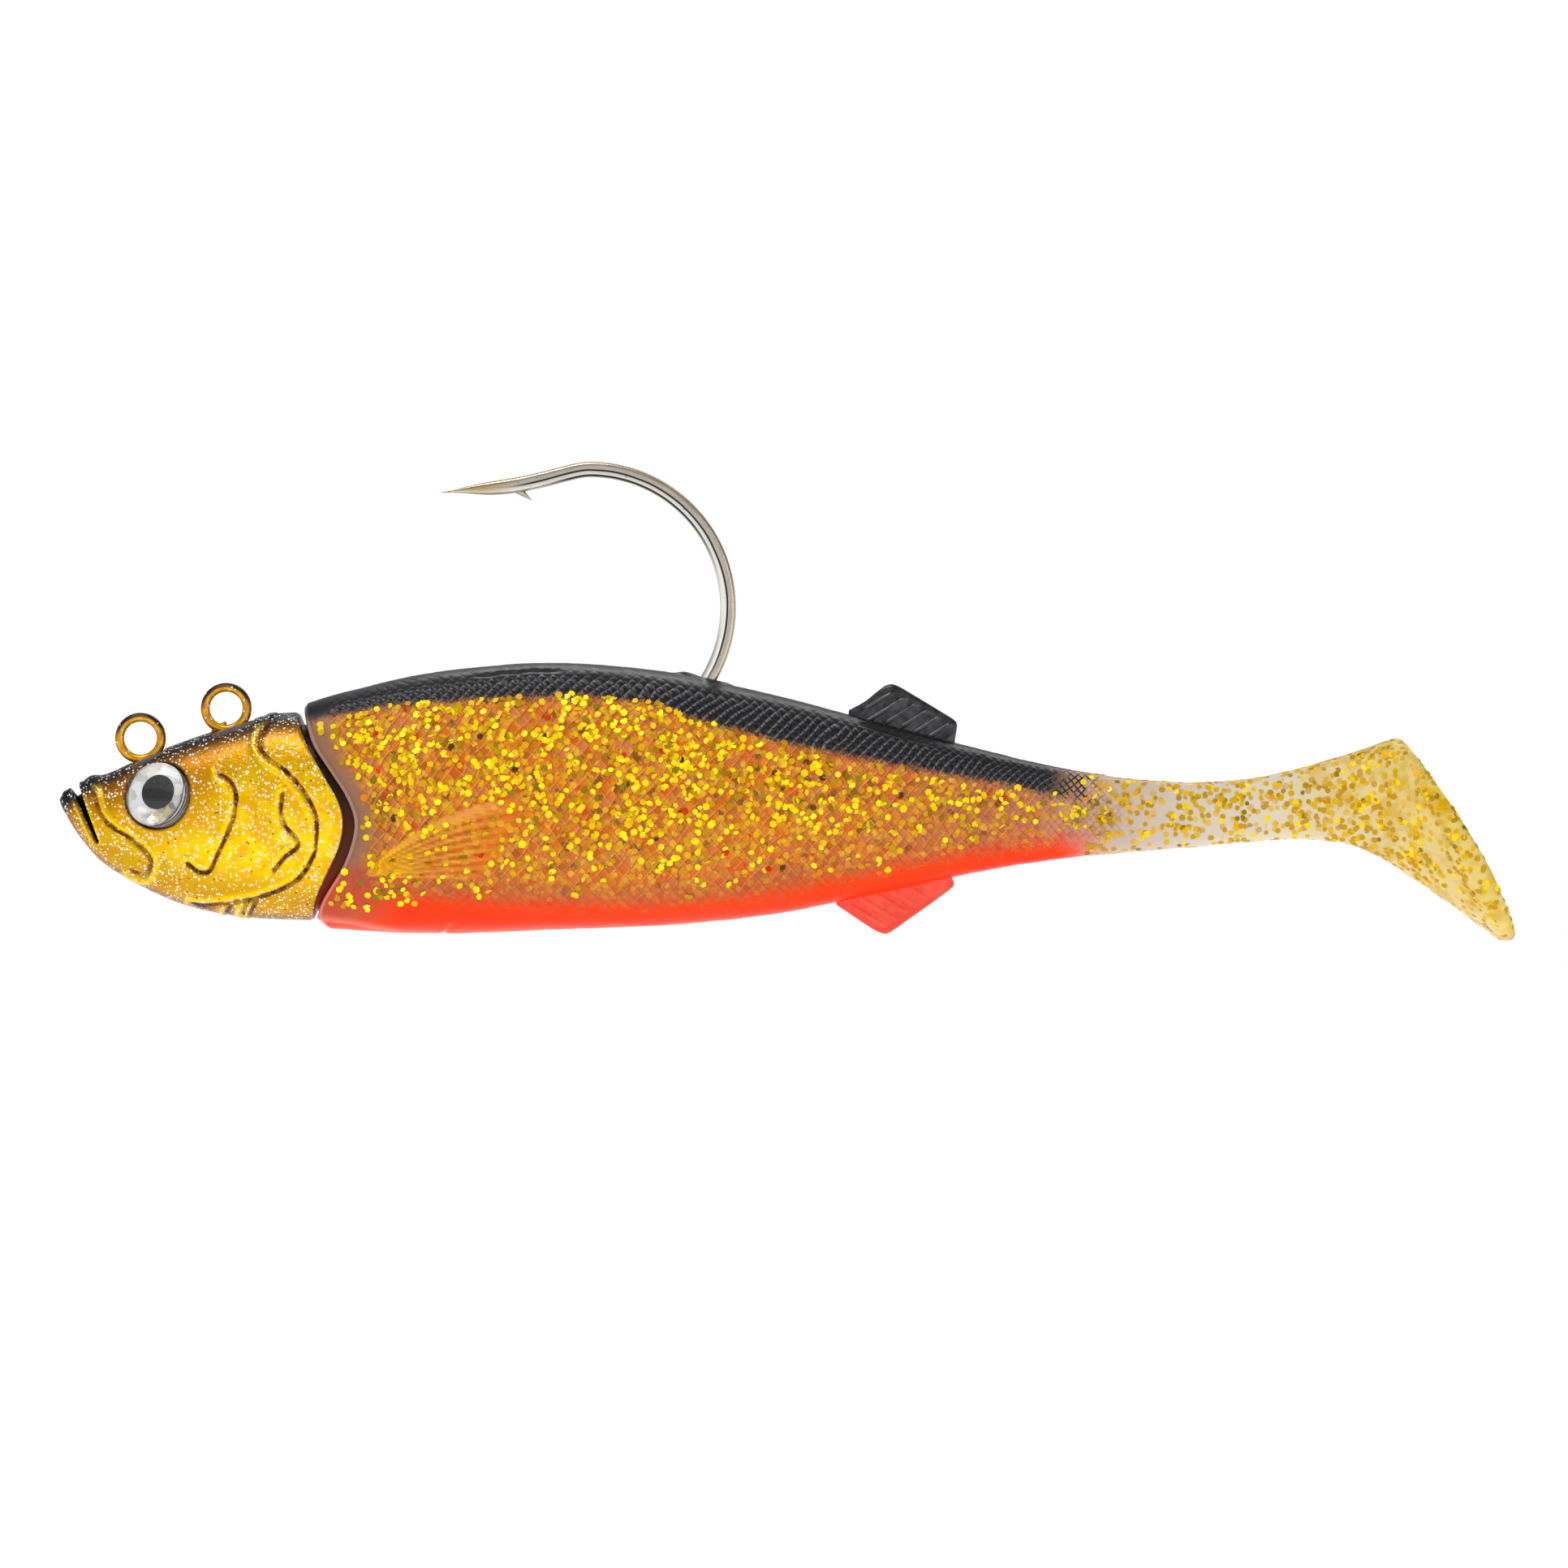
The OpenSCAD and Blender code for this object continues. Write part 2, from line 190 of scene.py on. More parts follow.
def grid_normals(p):
    """Outward normals of rings of points."""
    dj = np.roll(p, -1, 1) - np.roll(p, 1, 1)
    di = np.gradient(p, axis=0)
    n = np.cross(dj, di)
    n /= np.maximum(np.linalg.norm(n, axis=2, keepdims=True), 1e-12)
    return n * np.sign((n * (p - p.mean(1, keepdims=True))).sum())


def closed_loft(name, p, attrs=(), normals=None, smooth=True):
    """Rings p (rows, n, 3) in mm, closed with a fan at each end and turned to face outward."""
    rows, n = p.shape[:2]
    verts = np.vstack([p.reshape(-1, 3), p[0].mean(0), p[-1].mean(0)])
    i, k = np.meshgrid(np.arange(rows - 1), np.arange(n), indexing="ij")
    a, b = i * n + k, i * n + (k + 1) % n
    quads = np.stack([a, b, b + n, a + n], -1).reshape(-1, 4)
    corner = [verts[quads[:, j]] for j in range(4)]
    volume = (np.einsum("ij,ij->i", corner[0], np.cross(corner[1], corner[2]))
              + np.einsum("ij,ij->i", corner[0], np.cross(corner[2], corner[3]))).sum()
    c0, c1, last = rows * n, rows * n + 1, (rows - 1) * n
    faces = quads.tolist()
    for k in range(n):
        a, b = k, (k + 1) % n
        faces += [(b, a, c0), (last + a, last + b, c1)]
    if volume < 0:
        faces = [f[::-1] for f in faces]
    full = {}
    for key, v in dict(attrs).items():
        v = np.asarray(v, float)
        flat = v.reshape(rows * n, -1)
        flat = np.vstack([flat, v[0].reshape(n, -1).mean(0), v[-1].reshape(n, -1).mean(0)])
        full[key] = flat[:, 0] if v.ndim == 2 else flat
    if normals is not None:
        e0 = p[0].mean(0) - p[1].mean(0)
        e1 = p[-1].mean(0) - p[-2].mean(0)
        normals = np.vstack([normals.reshape(-1, 3), e0 / max(np.linalg.norm(e0), 1e-9),
                             e1 / max(np.linalg.norm(e1), 1e-9)])
    return new_object(name, verts, faces, full, smooth, normals)


# ---------------------------------------------------------------- node materials
def plain(r, g, b):
    c = [v / 255 for v in (r, g, b)]
    return tuple(v / 12.92 if v <= 0.04045 else ((v + 0.055) / 1.055) ** 2.4 for v in c) + (1.0,)


def rgb(r, g, b):
    """A seen colour, less the sheen that pale surroundings lay over a glossy surface."""
    return tuple(max(0.0, (v - SHEEN) * LIT) for v in plain(r, g, b)[:3]) + (1.0,)


SHEEN, LIT = 0.022, 0.92


class Nodes:
    def __init__(self, name):
        self.mat = bpy.data.materials.new(name)
        self.mat.use_nodes = True
        self.tree = self.mat.node_tree
        self.tree.nodes.clear()

    def add(self, kind, ins=(), out=0, **props):
        nd = self.tree.nodes.new("ShaderNode" + kind)
        for k, v in props.items():
            setattr(nd, k, v)
        for key, v in dict(ins).items():
            if isinstance(v, bpy.types.NodeSocket):
                self.tree.links.new(v, nd.inputs[key])
            else:
                nd.inputs[key].default_value = v
        return nd.outputs[out]

    def attr(self, name, out="Vector"):
        return self.add("Attribute", out=out, attribute_name=name)

    def split(self, v):
        nd = self.add("SeparateXYZ", {0: v}).node
        return nd.outputs[0], nd.outputs[1], nd.outputs[2]

    def math(self, op, a, b=0.0):
        return self.add("Math", {0: a, 1: b}, operation=op)

    def chain(self, op, values):
        out = values[0]
        for v in values[1:]:
            out = self.math(op, out, v)
        return out

    def mul(self, *values):
        return self.chain("MULTIPLY", values)

    def plus(self, *values):
        return self.chain("ADD", values)

    def most(self, *values):
        return self.chain("MAXIMUM", values)

    def least(self, *values):
        return self.chain("MINIMUM", values)

    def less(self, a, b):
        return self.math("SUBTRACT", a, b)

    def rest_of(self, v):
        """1 less v."""
        return self.math("SUBTRACT", 1.0, v)

    def swing(self, v, size):
        """A 0 to 1 noise turned into one round zero, of the given full width."""
        return self.mul(self.less(v, 0.5), size)

    def span(self, v, lo, hi, to_lo=0.0, to_hi=1.0):
        """Straight from to_lo at lo to to_hi at hi, and level beyond."""
        return self.add("MapRange", {0: v, 1: lo, 2: hi, 3: to_lo, 4: to_hi})

    def step(self, v, lo, hi, flip=False):
        """0 below lo, 1 above hi, smooth between."""
        return self.add("MapRange", {0: v, 1: lo, 2: hi, 3: 1.0 if flip else 0.0, 4: 0.0 if flip else 1.0},
                        interpolation_type="SMOOTHSTEP")

    def mix(self, f, a, b, how="MIX"):
        return self.add("Mix", {0: f, 6: a, 7: b}, out=2, data_type="RGBA", blend_type=how)

    def ramp(self, f, stops, how="LINEAR"):
        nd = self.add("ValToRGB", {0: f}).node
        r = nd.color_ramp
        r.interpolation = how
        while len(r.elements) < len(stops):
            r.elements.new(0.5)
        for el, (at, col) in zip(r.elements, stops):
            el.position, el.color = at, col
        return nd.outputs[0]

    def noise(self, v, scale, detail=2.0, rough=0.5):
        return self.add("TexNoise", {"Vector": v, "Scale": scale, "Detail": detail, "Roughness": rough})

    def voronoi(self, v, scale):
        """Distance to the nearest cell's middle, and that cell's own random colour."""
        nd = self.add("TexVoronoi", {"Vector": v, "Scale": scale}).node
        return nd.outputs["Distance"], nd.outputs.get("Color")

    def white(self, v):
        """One random number for each value of v."""
        return self.add("TexWhiteNoise", {"Vector": v}, noise_dimensions="3D")

    def bump(self, height, dist, strength):
        return self.add("Bump", {"Height": height, "Distance": dist, "Strength": strength})

    def surface(self, **ins):
        names = {k: k.replace("_", " ") for k in ins}
        sh = self.add("BsdfPrincipled", {names[k]: v for k, v in ins.items()})
        out = self.tree.nodes.new("ShaderNodeOutputMaterial")
        self.tree.links.new(sh, out.inputs["Surface"])
        return self.mat


def paint(ob, mat):
    ob.data.materials.clear()
    ob.data.materials.append(mat)
    return ob


def on_head(ob, mat, cad=None):
    """A rigid piece of the head and body, and the CAD node it stands for."""
    paint(ob, mat)
    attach(ob, "head_and_body")
    if cad:
        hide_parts(cad)


# ---------------------------------------------------------------- the fish form, as in the CAD, in mm
E = 2.3
HEAD_HALF_W, BODY_HALF_W, PADDLE_HALF_W = 10.8, 12.6, 11.6
NECK = (0.87 * HEAD_HALF_W, 2.1, -26.6)
NECK_END = 36.4
head_top = [[-12.4, -9.3], [-11.8, -8.2], [-10.2, -7.7], [-9.1, -6.9], [-7.6, -5.8], [-5.5, -5.6],
            [-1, -3.6], [8, 0], [16, 2.6], [20.3, 3.7], [24, 4]]
head_bot = [[-12.4, -9.7], [-12.1, -10.6], [-11.1, -12.4], [-8.9, -15.7], [-6, -19], [-1, -22.1], [4, -24.6],
            [9.6, -26.5], [16, -27.7], [24, -28]]
head_wid = [[-12.4, 0.05], [-11.8, 0.14], [-10, 0.26], [-7.5, 0.38], [-3, 0.54], [3, 0.71], [9, 0.85],
            [16, 0.95], [24, 1]]
head_back = [[-28, 2.2], [-24, 3.4], [-20, 5.3], [-16, 7], [-12.5, 7.4], [-9.5, 6.6], [-6, 4.6], [-2, 2.3],
             [1, 0.9], [4, 0]]
body_front = [[-30, 4.1], [-27.6, 2.7], [-25, 3.4], [-20, 6.5], [-16, 8.1], [-12.6, 8.5], [-9, 7.2],
              [-5, 4.6], [-1, 2], [5, 0]]
body_top = [[24, 5], [32, 7.4], [44, 10], [62, 11.7], [80, 10.4], [97, 6.9], [110, 3.5], [128, -1.3],
            [145, -5.1], [160, -6.7], [172, -6], [184, -3], [193.6, 0.2]]
body_bot = [[24, -29.3], [46, -30.1], [62, -29.6], [80, -28.8], [97, -27.2], [112, -24.3], [128, -20.8],
            [145, -18.2], [160, -16.9], [178, -15.6], [188, -17], [198.8, -23.6], [209.4, -31.2]]
body_wid = [[24, 0.84], [32, 0.92], [46, 0.98], [62, 1], [80, 0.95], [97, 0.8], [112, 0.65], [128, 0.49],
            [145, 0.35], [160, 0.28], [178, 0.26]]
black_edge = [[25.1, 2.6], [38.8, 4.7], [53.1, 5.8], [67.5, 6.2], [78.2, 5.4], [85.4, 2.6], [92.6, 0.8],
              [99.8, -1], [106.9, -2.5], [114.1, -3.9], [121.3, -5.3], [128.5, -6.4], [142.3, -9.2],
              [150, -10.5]]
belly_edge = [[24, -17.5], [32, -22.2], [40, -24.3], [60, -25.5], [80, -25.8], [95, -24.4], [107, -21.9],
              [128, -17.7], [146, -15.4], [150, -15]]

GIRTH = 296              # points round the skin
TILE = [[24, 1.75], [80, 1.85], [110, 1.6], [128, 1.35], [145, 1.15], [170, 1.0],
        [215, 1.0]]   # width of a scale
TILE_TALL = 1.2


def fish_ring(s, grow=0.0):
    w = BODY_HALF_W * float(curve(body_wid, s)) + grow
    hi, lo = float(curve(body_top, s)) + 0.1 + grow, float(curve(body_bot, s)) - 0.15 - grow
    if s > 168:
        t = float(ease((s - 168) / 6))
        w, lo = w + t * (0.26 * BODY_HALF_W - w), lo + 0.05 * t
    y, z, l = outline(GIRTH, w, hi, lo, E)
    x = s + curve(body_front, z) * (1 - ease((s - 24.3) / 20))
    return np.stack([x, y, z], 1), l


def tip_ring(hi, lo, w, q, bulge):
    d = np.hypot(hi[0] - lo[0], hi[1] - lo[1])
    y, z, l = outline(GIRTH, w, d / 2, -d / 2, q)
    f = z / d + 0.5
    return np.stack([lo[0] + (hi[0] - lo[0]) * f + 4 * bulge * f * (1 - f), y, lo[1] + (hi[1] - lo[1]) * f],
                    1), l


rings, girth, station = [], [], []


def keep(ring, s):
    rings.append(ring[0])
    girth.append(ring[1])
    station.append(s)


def lip_ring(t, dx):
    """Between the neck recess (t 0) and the skin at the front edge (t 1)."""
    inner = outline(GIRTH, NECK[0] + 0.15, NECK[1] + 0.15, NECK[2] - 0.15, E)
    outer = fish_ring(24.3, -0.06 * (1 - t))[0]
    y, z = inner[0] + (outer[:, 1] - inner[0]) * t, inner[1] + (outer[:, 2] - inner[1]) * t
    return np.stack([24.3 + curve(body_front, z) + dx, y, z], 1), fish_ring(24.3)[1]


LIP = 0.6                # the front lip stands this far behind the CAD's flat front edge
LIP_AT, LIP_ROUND = 24.3, 0.9
RING_STEP, WRIST_STEP, NECK_STEP = 0.36, 0.33, 0.4      # between rings of the skin
PADDLE_AT, PADDLE_SLIM = 174, 0.26      # where the paddle starts, and its half width there as a share
for t in np.linspace(0, 1, 26)[:-1]:        # the recess, from its floor to the lip
    inner = lip_ring(0, LIP + LIP_ROUND)
    x = NECK_END + (inner[0][:, 0] - NECK_END) * t
    keep((np.stack([x, inner[0][:, 1], inner[0][:, 2]], 1), inner[1]), LIP_AT - 12 * (1 - t))
for t in np.linspace(0, 1, 12)[:-1]:
    a = math.pi * t
    keep(lip_ring((1 - math.cos(a)) / 2, LIP + LIP_ROUND - (LIP_ROUND * math.sin(a) ** 0.8 if t > 0 else 0)),
         LIP_AT)
first_skin = len(rings)
for s in np.arange(25.2 + LIP, 130.01, RING_STEP):
    keep(fish_ring(s), s)
seam_a = len(rings) - 1
for s in np.arange(station[-1] + WRIST_STEP, 168, WRIST_STEP):
    keep(fish_ring(s), s)
seam_b = len(rings) - 1
for s in np.arange(station[-1] + NECK_STEP, PADDLE_AT - 0.1, NECK_STEP):
    keep(fish_ring(s), s)
for t in np.linspace(0, 1, 66):
    xt, xb = PADDLE_AT + 18.6 * t, PADDLE_AT + 35.2 * t
    w0 = PADDLE_SLIM * BODY_HALF_W
    keep(tip_ring((xt, float(curve(body_top, xt)) + 0.1), (xb, float(curve(body_bot, xb)) - 0.1),
                  w0 + (PADDLE_HALF_W - w0) * t**3.6, 2.3 - 0.3 * t, 0), PADDLE_AT + 27 * t)
tip_a = tip_ring((192.6, float(curve(body_top, 192.6)) + 0.1), (209.2, float(curve(body_bot, 209.2)) - 0.1),
                 PADDLE_HALF_W, 2, 0)
tip_b = tip_ring((194.2, -0.2), (211.3, -31.1), PADDLE_HALF_W + 0.1, 2, 0.7)
tip_c = tip_ring((194.8, -1.6), (211.6, -29.8), PADDLE_HALF_W - 0.7, 2, 1.2)
for t in np.linspace(0, 1, 9)[1:]:          # the round rim
    knee = 2 * tip_b[0] - (tip_a[0] + tip_c[0]) / 2
    keep(((1 - t) ** 2 * tip_a[0] + 2 * t * (1 - t) * knee + t * t * tip_c[0], tip_a[1]), 201 + 2 * t)
mid = tip_c[0].mean(0)
for t in np.linspace(0, 1, 26)[1:-1]:       # the back of the paddle closes to its middle
    p = mid + (tip_c[0] - mid) * (1 - t)
    p = p + np.array([0.88, 0, -0.47]) * 0.35 * math.sin(math.pi * t / 2)
    keep((p, tip_c[1] * (1 - t)), 203 + t)

P = np.array(rings)
L = np.array(girth)
S = np.repeat(np.array(station)[:, None], GIRTH, 1)
X, Y, Z = P[..., 0], P[..., 1], P[..., 2]

# scale lattice: along the fish and round the girth, in scales
xs = np.linspace(20, 216, 2000)
along = np.concatenate([[0], np.cumsum(np.diff(xs) / np.interp(xs[1:], *np.array(TILE).T))])
tile_w = np.interp(X, *np.array(TILE).T)
LP = np.interp(X, xs, along) + 0.5 * (value_noise(X, Y, Z, 21, 3.0) - 0.5)
LQ = L / (TILE_TALL * tile_w) + 0.5 * (value_noise(X, Y, Z, 22, 3.0) - 0.5)
zb, zr = np.interp(X, *np.array(black_edge).T), np.interp(X, *np.array(belly_edge).T)
black_d, belly_d = Z - zb, zr - Z
from_top = np.interp(S, *np.array(body_top).T) - Z
fade = ease((S - 28.2) / 2.4) * (1 - ease((S - 146) / 9)) * (1 - 0.95 * ease((belly_d + 1.0) / 2.4))
fade = fade * (0.12 + 0.88 * ease((from_top - 1.3) / 1.6))
ring_no = np.arange(len(P))[:, None] + 0 * S
outer = ring_no >= first_skin
shown = np.where(outer, 1.0, ease((ring_no - first_skin + 8) / 4))      # 0 in the recess, 1 on the skin
fade = np.where(outer, fade, 0)

# pectoral fin moulded on each side: a fan of rays from one root
ROOT = (35.0, -21.0)
px, pz = X - ROOT[0], Z - ROOT[1]
ray_a, ray_r = np.degrees(np.arctan2(pz, px)), np.hypot(px, pz)
# 0 at the lowest ray, 1 at the upper edge; the rays bend towards the tail
ray_t = ray_a / (43.9 - 0.72 * ray_r)
reach = np.interp(ray_t, [-0.1, 0, 0.5, 1.0, 1.1], [17, 19, 23.5, 27.5, 26])
inside = ease((reach - ray_r) / 1.6) * ease((ray_t + 0.12) / 0.09)
inside = inside * ease((1.1 - ray_t) / 0.07) * ease((ray_r + 0.5) / 2)
inside = np.where((px > -1) & outer, inside, 0)
ray = (0.5 + 0.5 * np.cos(2 * np.pi * (ray_t * 7.5 + 0.25 * value_noise(X, Y, Z, 23, 6.0)))) ** 2
band = np.exp(-((ray_t - 1.0) / 0.06) ** 2)
pectoral = inside * (0.10 + 0.60 * np.maximum(ray * (1 - band),
                                              band) * ease(ray_r / 3) * ease((reach - ray_r) / 7))
fade = fade * (1 - inside)

fu, fv = (LP + LQ) % 1, (LP - LQ) % 1
on_back = ease((black_d + 0.5) / 1.5)
pad = ease(np.minimum(np.minimum(fu, 1 - fu), np.minimum(fv, 1 - fv)) / 0.46)
on_flank = 0.5 * fu**2 + 1.0 * fv**2 - 0.55
relief = fade * 0.30 * (on_flank + (pad * (1.2 - 0.6 * fv) - 0.6 - on_flank) * on_back)
broad = 0.16 * (value_noise(X, Y, Z, 3, 9.0) - 0.5)
fine = 0.10 * (value_noise(X, Y, Z, 4, 2.6) - 0.5) * (1 - fade)
lumps = (broad + fine) * outer
slit = np.exp(-((Y / 0.55) ** 2)) * ease((X - 81.6) / 1.4) * (1 - ease((X - 90) / 1.2)) * (Z > 0)
lips = np.exp(-(((np.abs(Y) - 1.5) / 0.6) ** 2)) * ease((X - 81.6) / 2)
lips = lips * (1 - ease((X - 90.2) / 1.5)) * (Z > 0)
flap = np.exp(-((X - 84.2) / 1.5) ** 2 - ((Y + 1.1) / 0.8) ** 2) * (Z > 0)
fold_d, _ = polyline_distance(X, Z, [(27.4, -27.5), (33, -28.2), (38, -29.1), (41.7, -29.9)])
fold = np.exp(-((fold_d / 0.45) ** 2)) * ease((42 - X) / 6) * ease((X - 25.5) / 1.5) * (Z < -20)
root_d, _ = polyline_distance(X, Z, [(111.2, 2.4), (121.8, -0.7)])
root_line = np.exp(-((root_d / 0.30) ** 2))
part_d, _ = polyline_distance(X, Z, [(50.5, 9.2), (52, 9.65), (54, 9.8), (56, 10.15), (58, 10.15),
                                     (60.6, 10.5), (63, 10.45), (66, 10.5)])
part_line = np.exp(-((part_d / 0.22) ** 2)) * (Y < 0) * ease((X - 50.5) / 3) * ease((66 - X) / 3)
root_line = np.maximum(root_line, 0.8 * part_line)
wrinkle = np.exp(-((X - 46.5 - 0.3 * np.abs(Y)) / 0.5) ** 2) * ease((-28.3 - Z) / 1.0)
P = P + grid_normals(P) * (relief + pectoral + lumps - 0.7 * slit + 0.25 * lips + 0.35 * flap - 0.3 * wrinkle
                          + 0.28 * fold - 0.35 * root_line - 0.17)[..., None]
NV = grid_normals(P)

skin_attrs = {
    "rest": P,
    "lattice": np.stack([LP, LQ, fade], -1),
    "zone": np.stack([black_d, belly_d, S], -1),
    "crease": np.stack([fold, ease((42 - X) / 9) * ease((-18.5 - Z) / 4) * outer, 0 * fold], -1),
    "fin_mark": np.stack([inside * ease((12 - ray_r) / 9),
                          np.maximum(ray, band) * inside * ease((reach - ray_r) / 9),
                          shown * (1 - 0.9 * root_line)], -1),
}
SKINS = {
    "skin_front": (0, seam_a, ("head_and_body", "rear_body"), 95, 110),
    "skin_wrist": (seam_a, seam_b, ("rear_body", "tail_stem"), 138, 164),
    "skin_paddle": (seam_b, len(P) - 1, ("tail_stem", "paddle"), 170, 186),
}
SKIN_STANDS_FOR = {"skin_front": ("soft_body", "rear_body"), "skin_wrist": ("tail_stem",),
                   "skin_paddle": ("paddle_tail",)}
skins = {}
for name, (i0, i1, bodies, x0, x1) in SKINS.items():
    cut = slice(i0, i1 + 1)
    skins[name] = closed_loft(name, P[cut], {k: v[cut] for k, v in skin_attrs.items()}, NV[cut])


def bend(ob, bodies, x0, x1, z=-0.01):
    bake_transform(ob)


# ---------------------------------------------------------------- material of the skin
TONES = [(0.0, rgb(84, 66, 24)), (0.015, rgb(150, 128, 10)), (0.08, rgb(204, 158, 8)),
         (0.24, rgb(236, 188, 4)), (0.38, (1.0, 0.68, 0.0, 1)), (0.56, (1.0, 0.82, 0.0, 1)),
         (0.975, rgb(240, 140, 20)), (0.988, rgb(232, 55, 25)), (0.9965, rgb(225, 222, 236)),
         (0.9992, rgb(20, 150, 80))]


def skin_material(name):
    g = Nodes(name)
    rest, lat, zone, fin = g.attr("rest"), g.attr("lattice"), g.attr("zone"), g.attr("fin_mark")
    fold_highlight, corner_, _ = g.split(g.attr("crease"))
    p, q, fade_ = g.split(lat)
    black, belly, s = g.split(zone)
    fin_in, fin_ray, out_ = g.split(fin)
    u, v = g.plus(p, q), g.less(p, q)
    fu_, fv_ = g.math("FRACT", u), g.math("FRACT", v)
    cell = g.add("CombineXYZ", {0: g.math("FLOOR", u), 1: g.math("FLOOR", v), 2: 0.0})
    tile = g.white(cell)
    n_mid, n_fine = g.noise(rest, 0.55, 3), g.noise(rest, 3.2, 3, 0.65)
    base = g.ramp(g.math("DIVIDE", s, 220.0), [(0.11, rgb(128, 92, 72)), (0.122, rgb(158, 118, 94)),
                                               (0.145, rgb(192, 122, 70)), (0.25, rgb(218, 118, 40)),
                                               (0.42, rgb(224, 120, 28)), (0.52, rgb(206, 118, 66)),
                                               (0.62, rgb(202, 130, 100)), (0.68, rgb(210, 188, 172)),
                                               (0.74, rgb(222, 210, 194)), (0.79, rgb(230, 218, 192)),
                                               (0.86, rgb(234, 214, 158)), (0.93, rgb(240, 212, 118))])
    tile_col = g.ramp(tile, [(0.0, rgb(218, 130, 78)), (0.30, rgb(234, 116, 20)), (0.58, rgb(240, 150, 8)),
                             (0.76, rgb(228, 84, 36)), (0.84, rgb(170, 108, 50)), (0.95, rgb(104, 88, 48))],
                      "CONSTANT")
    body_part = g.step(s, 112.0, 140.0, flip=True)
    tile_f = g.mul(fade_, body_part, g.step(n_mid, 0.3, 0.7))
    col = g.mix(g.mul(tile_f, 0.9), base, tile_col)
    # each scale a little lighter or darker at random: painted light and shade standing in for the tilt of
    # each scale
    tile_tilt_light = g.white(g.add("VectorMath", {0: cell, 1: (7.3, 1.7, 2.0)}))
    col = g.mix(g.mul(g.step(tile_tilt_light, 0.5, 1.0), fade_, 0.32), col, rgb(224, 142, 92))
    col = g.mix(g.mul(g.step(tile_tilt_light, 0.5, 0.0), fade_, 0.4), col, rgb(176, 90, 30))
    mottle = g.mul(g.step(s, 176.0, 190.0), g.step(g.noise(rest, 0.22, 3, 0.6), 0.42, 0.66))
    col = g.mix(g.mul(mottle, 0.7), col, rgb(216, 174, 56))
    # flakes that lie deeper: soft discs in three layers
    for k, (size, reach_, hold) in enumerate(((0.95, 0.46, 0.8), (0.80, 0.40, 0.7), (0.62, 0.32, 0.55))):
        shifted = g.add("VectorMath", {0: rest, 1: (3.1 * k, 5.7 * k, 1.9 * k)})
        d, c = g.voronoi(shifted, size)
        cr, cg, cb = g.split(c)
        disc = g.step(d, reach_, reach_ + 0.06, flip=True)
        dense = g.step(s, 118.0, 152.0, flip=True)
        lit = g.mul(g.plus(g.mul(dense, 0.24), 0.26), g.step(belly, -3.0, 2.5, flip=True))
        on = g.math("LESS_THAN", cr, lit)
        hue = g.ramp(cg, [(0.0, rgb(232, 178, 4)), (0.32, rgb(196, 150, 12)), (0.46, rgb(246, 200, 0)),
                          (0.74, rgb(240, 150, 12)), (0.92, rgb(120, 92, 26)), (0.97, rgb(232, 72, 32))],
                     "CONSTANT")
        tail_hue = g.ramp(cg, [(0.0, rgb(224, 176, 22)), (0.35, rgb(204, 156, 14)), (0.6, rgb(236, 190, 20)),
                               (0.94, rgb(176, 136, 16))], "CONSTANT")
        hue = g.mix(g.step(s, 138.0, 150.0), hue, tail_hue)
        f = g.mul(disc, on, g.mul(g.step(s, 26.0, 36.0), hold))
        col = g.mix(f, col, hue)
    # painted highlight along the scales' raised rims, painted shade at their feet
    rim_highlight_v = g.mul(g.step(fv_, 0.74, 0.88), g.step(fv_, 1.0, 0.94))
    rim_highlight_u = g.mul(g.step(fu_, 0.78, 0.90), g.step(fu_, 1.0, 0.95))
    rim = g.mul(g.most(g.mul(rim_highlight_v, 0.8), g.mul(rim_highlight_u, 0.6)), fade_)
    rim = g.mul(rim, g.span(g.noise(rest, 0.7, 3, 0.7), 0.36, 0.62, 0.15, 1.0))
    col = g.mix(g.mul(rim, 0.8), col, rgb(246, 174, 104))
    shade = g.mul(g.most(g.step(fv_, 0.14, 0.0), g.mul(g.step(fu_, 0.12, 0.0), 0.7)), fade_)
    col = g.mix(g.mul(shade, 0.5), col, rgb(140, 62, 22))
    hem = g.mul(g.step(g.plus(belly, g.swing(n_mid, 4.0)), -5.0, -0.8), g.step(s, 120.0, 100.0))
    col = g.mix(g.mul(hem, 0.5), col, rgb(168, 98, 74))
    # moulded pectoral fin: yellow at its root, pale along its rays
    col = g.mix(g.mul(g.less(g.step(fin_ray, 0.0, 0.05), fin_ray), 0.45), col, (0.86, 0.19, 0.012, 1))
    col = g.mix(g.mul(fin_ray, 0.85), col, rgb(250, 178, 82))
    col = g.mix(g.mul(fin_in, g.plus(g.mul(fin_ray, 0.35), 0.6)), col, (0.98, 0.56, 0.0, 1))
    # sprayed belly
    specks = g.swing(n_fine, 6.0)
    wide = g.swing(n_mid, 3.0)
    belly_m = g.step(g.plus(belly, specks, wide), -1.9, 1.6)
    stop = g.step(g.plus(s, g.mul(specks, 1.6)), 141.0, 149.0, flip=True)
    belly_m = g.mul(belly_m, stop)
    red = g.mix(g.step(belly, 0.5, 3.0), (0.88, 0.036, 0.002, 1), (0.90, 0.020, 0.001, 1))
    # paler red along the lowest edge of the belly: painted highlight
    red = g.mix(g.step(g.split(rest)[2], -28.4, -29.6), red, (0.93, 0.065, 0.035, 1))
    col = g.mix(g.mul(corner_, g.step(n_mid, 0.15, 0.75)), col, (0.34, 0.058, 0.04, 1))
    belly_m = g.mul(belly_m, g.rest_of(g.mul(corner_, 0.82, g.step(g.split(rest)[2], -28.6, -27.2))))
    col = g.mix(belly_m, col, red)
    pink = g.mul(g.step(g.plus(belly, wide), -7.0, 2.0), g.step(s, 150.0, 140.0))
    col = g.mix(g.mul(pink, 0.3), col, rgb(240, 92, 50))
    # painted highlight along the crease at the front of the belly
    col = g.mix(g.mul(fold_highlight, 0.55), col, rgb(255, 150, 130))
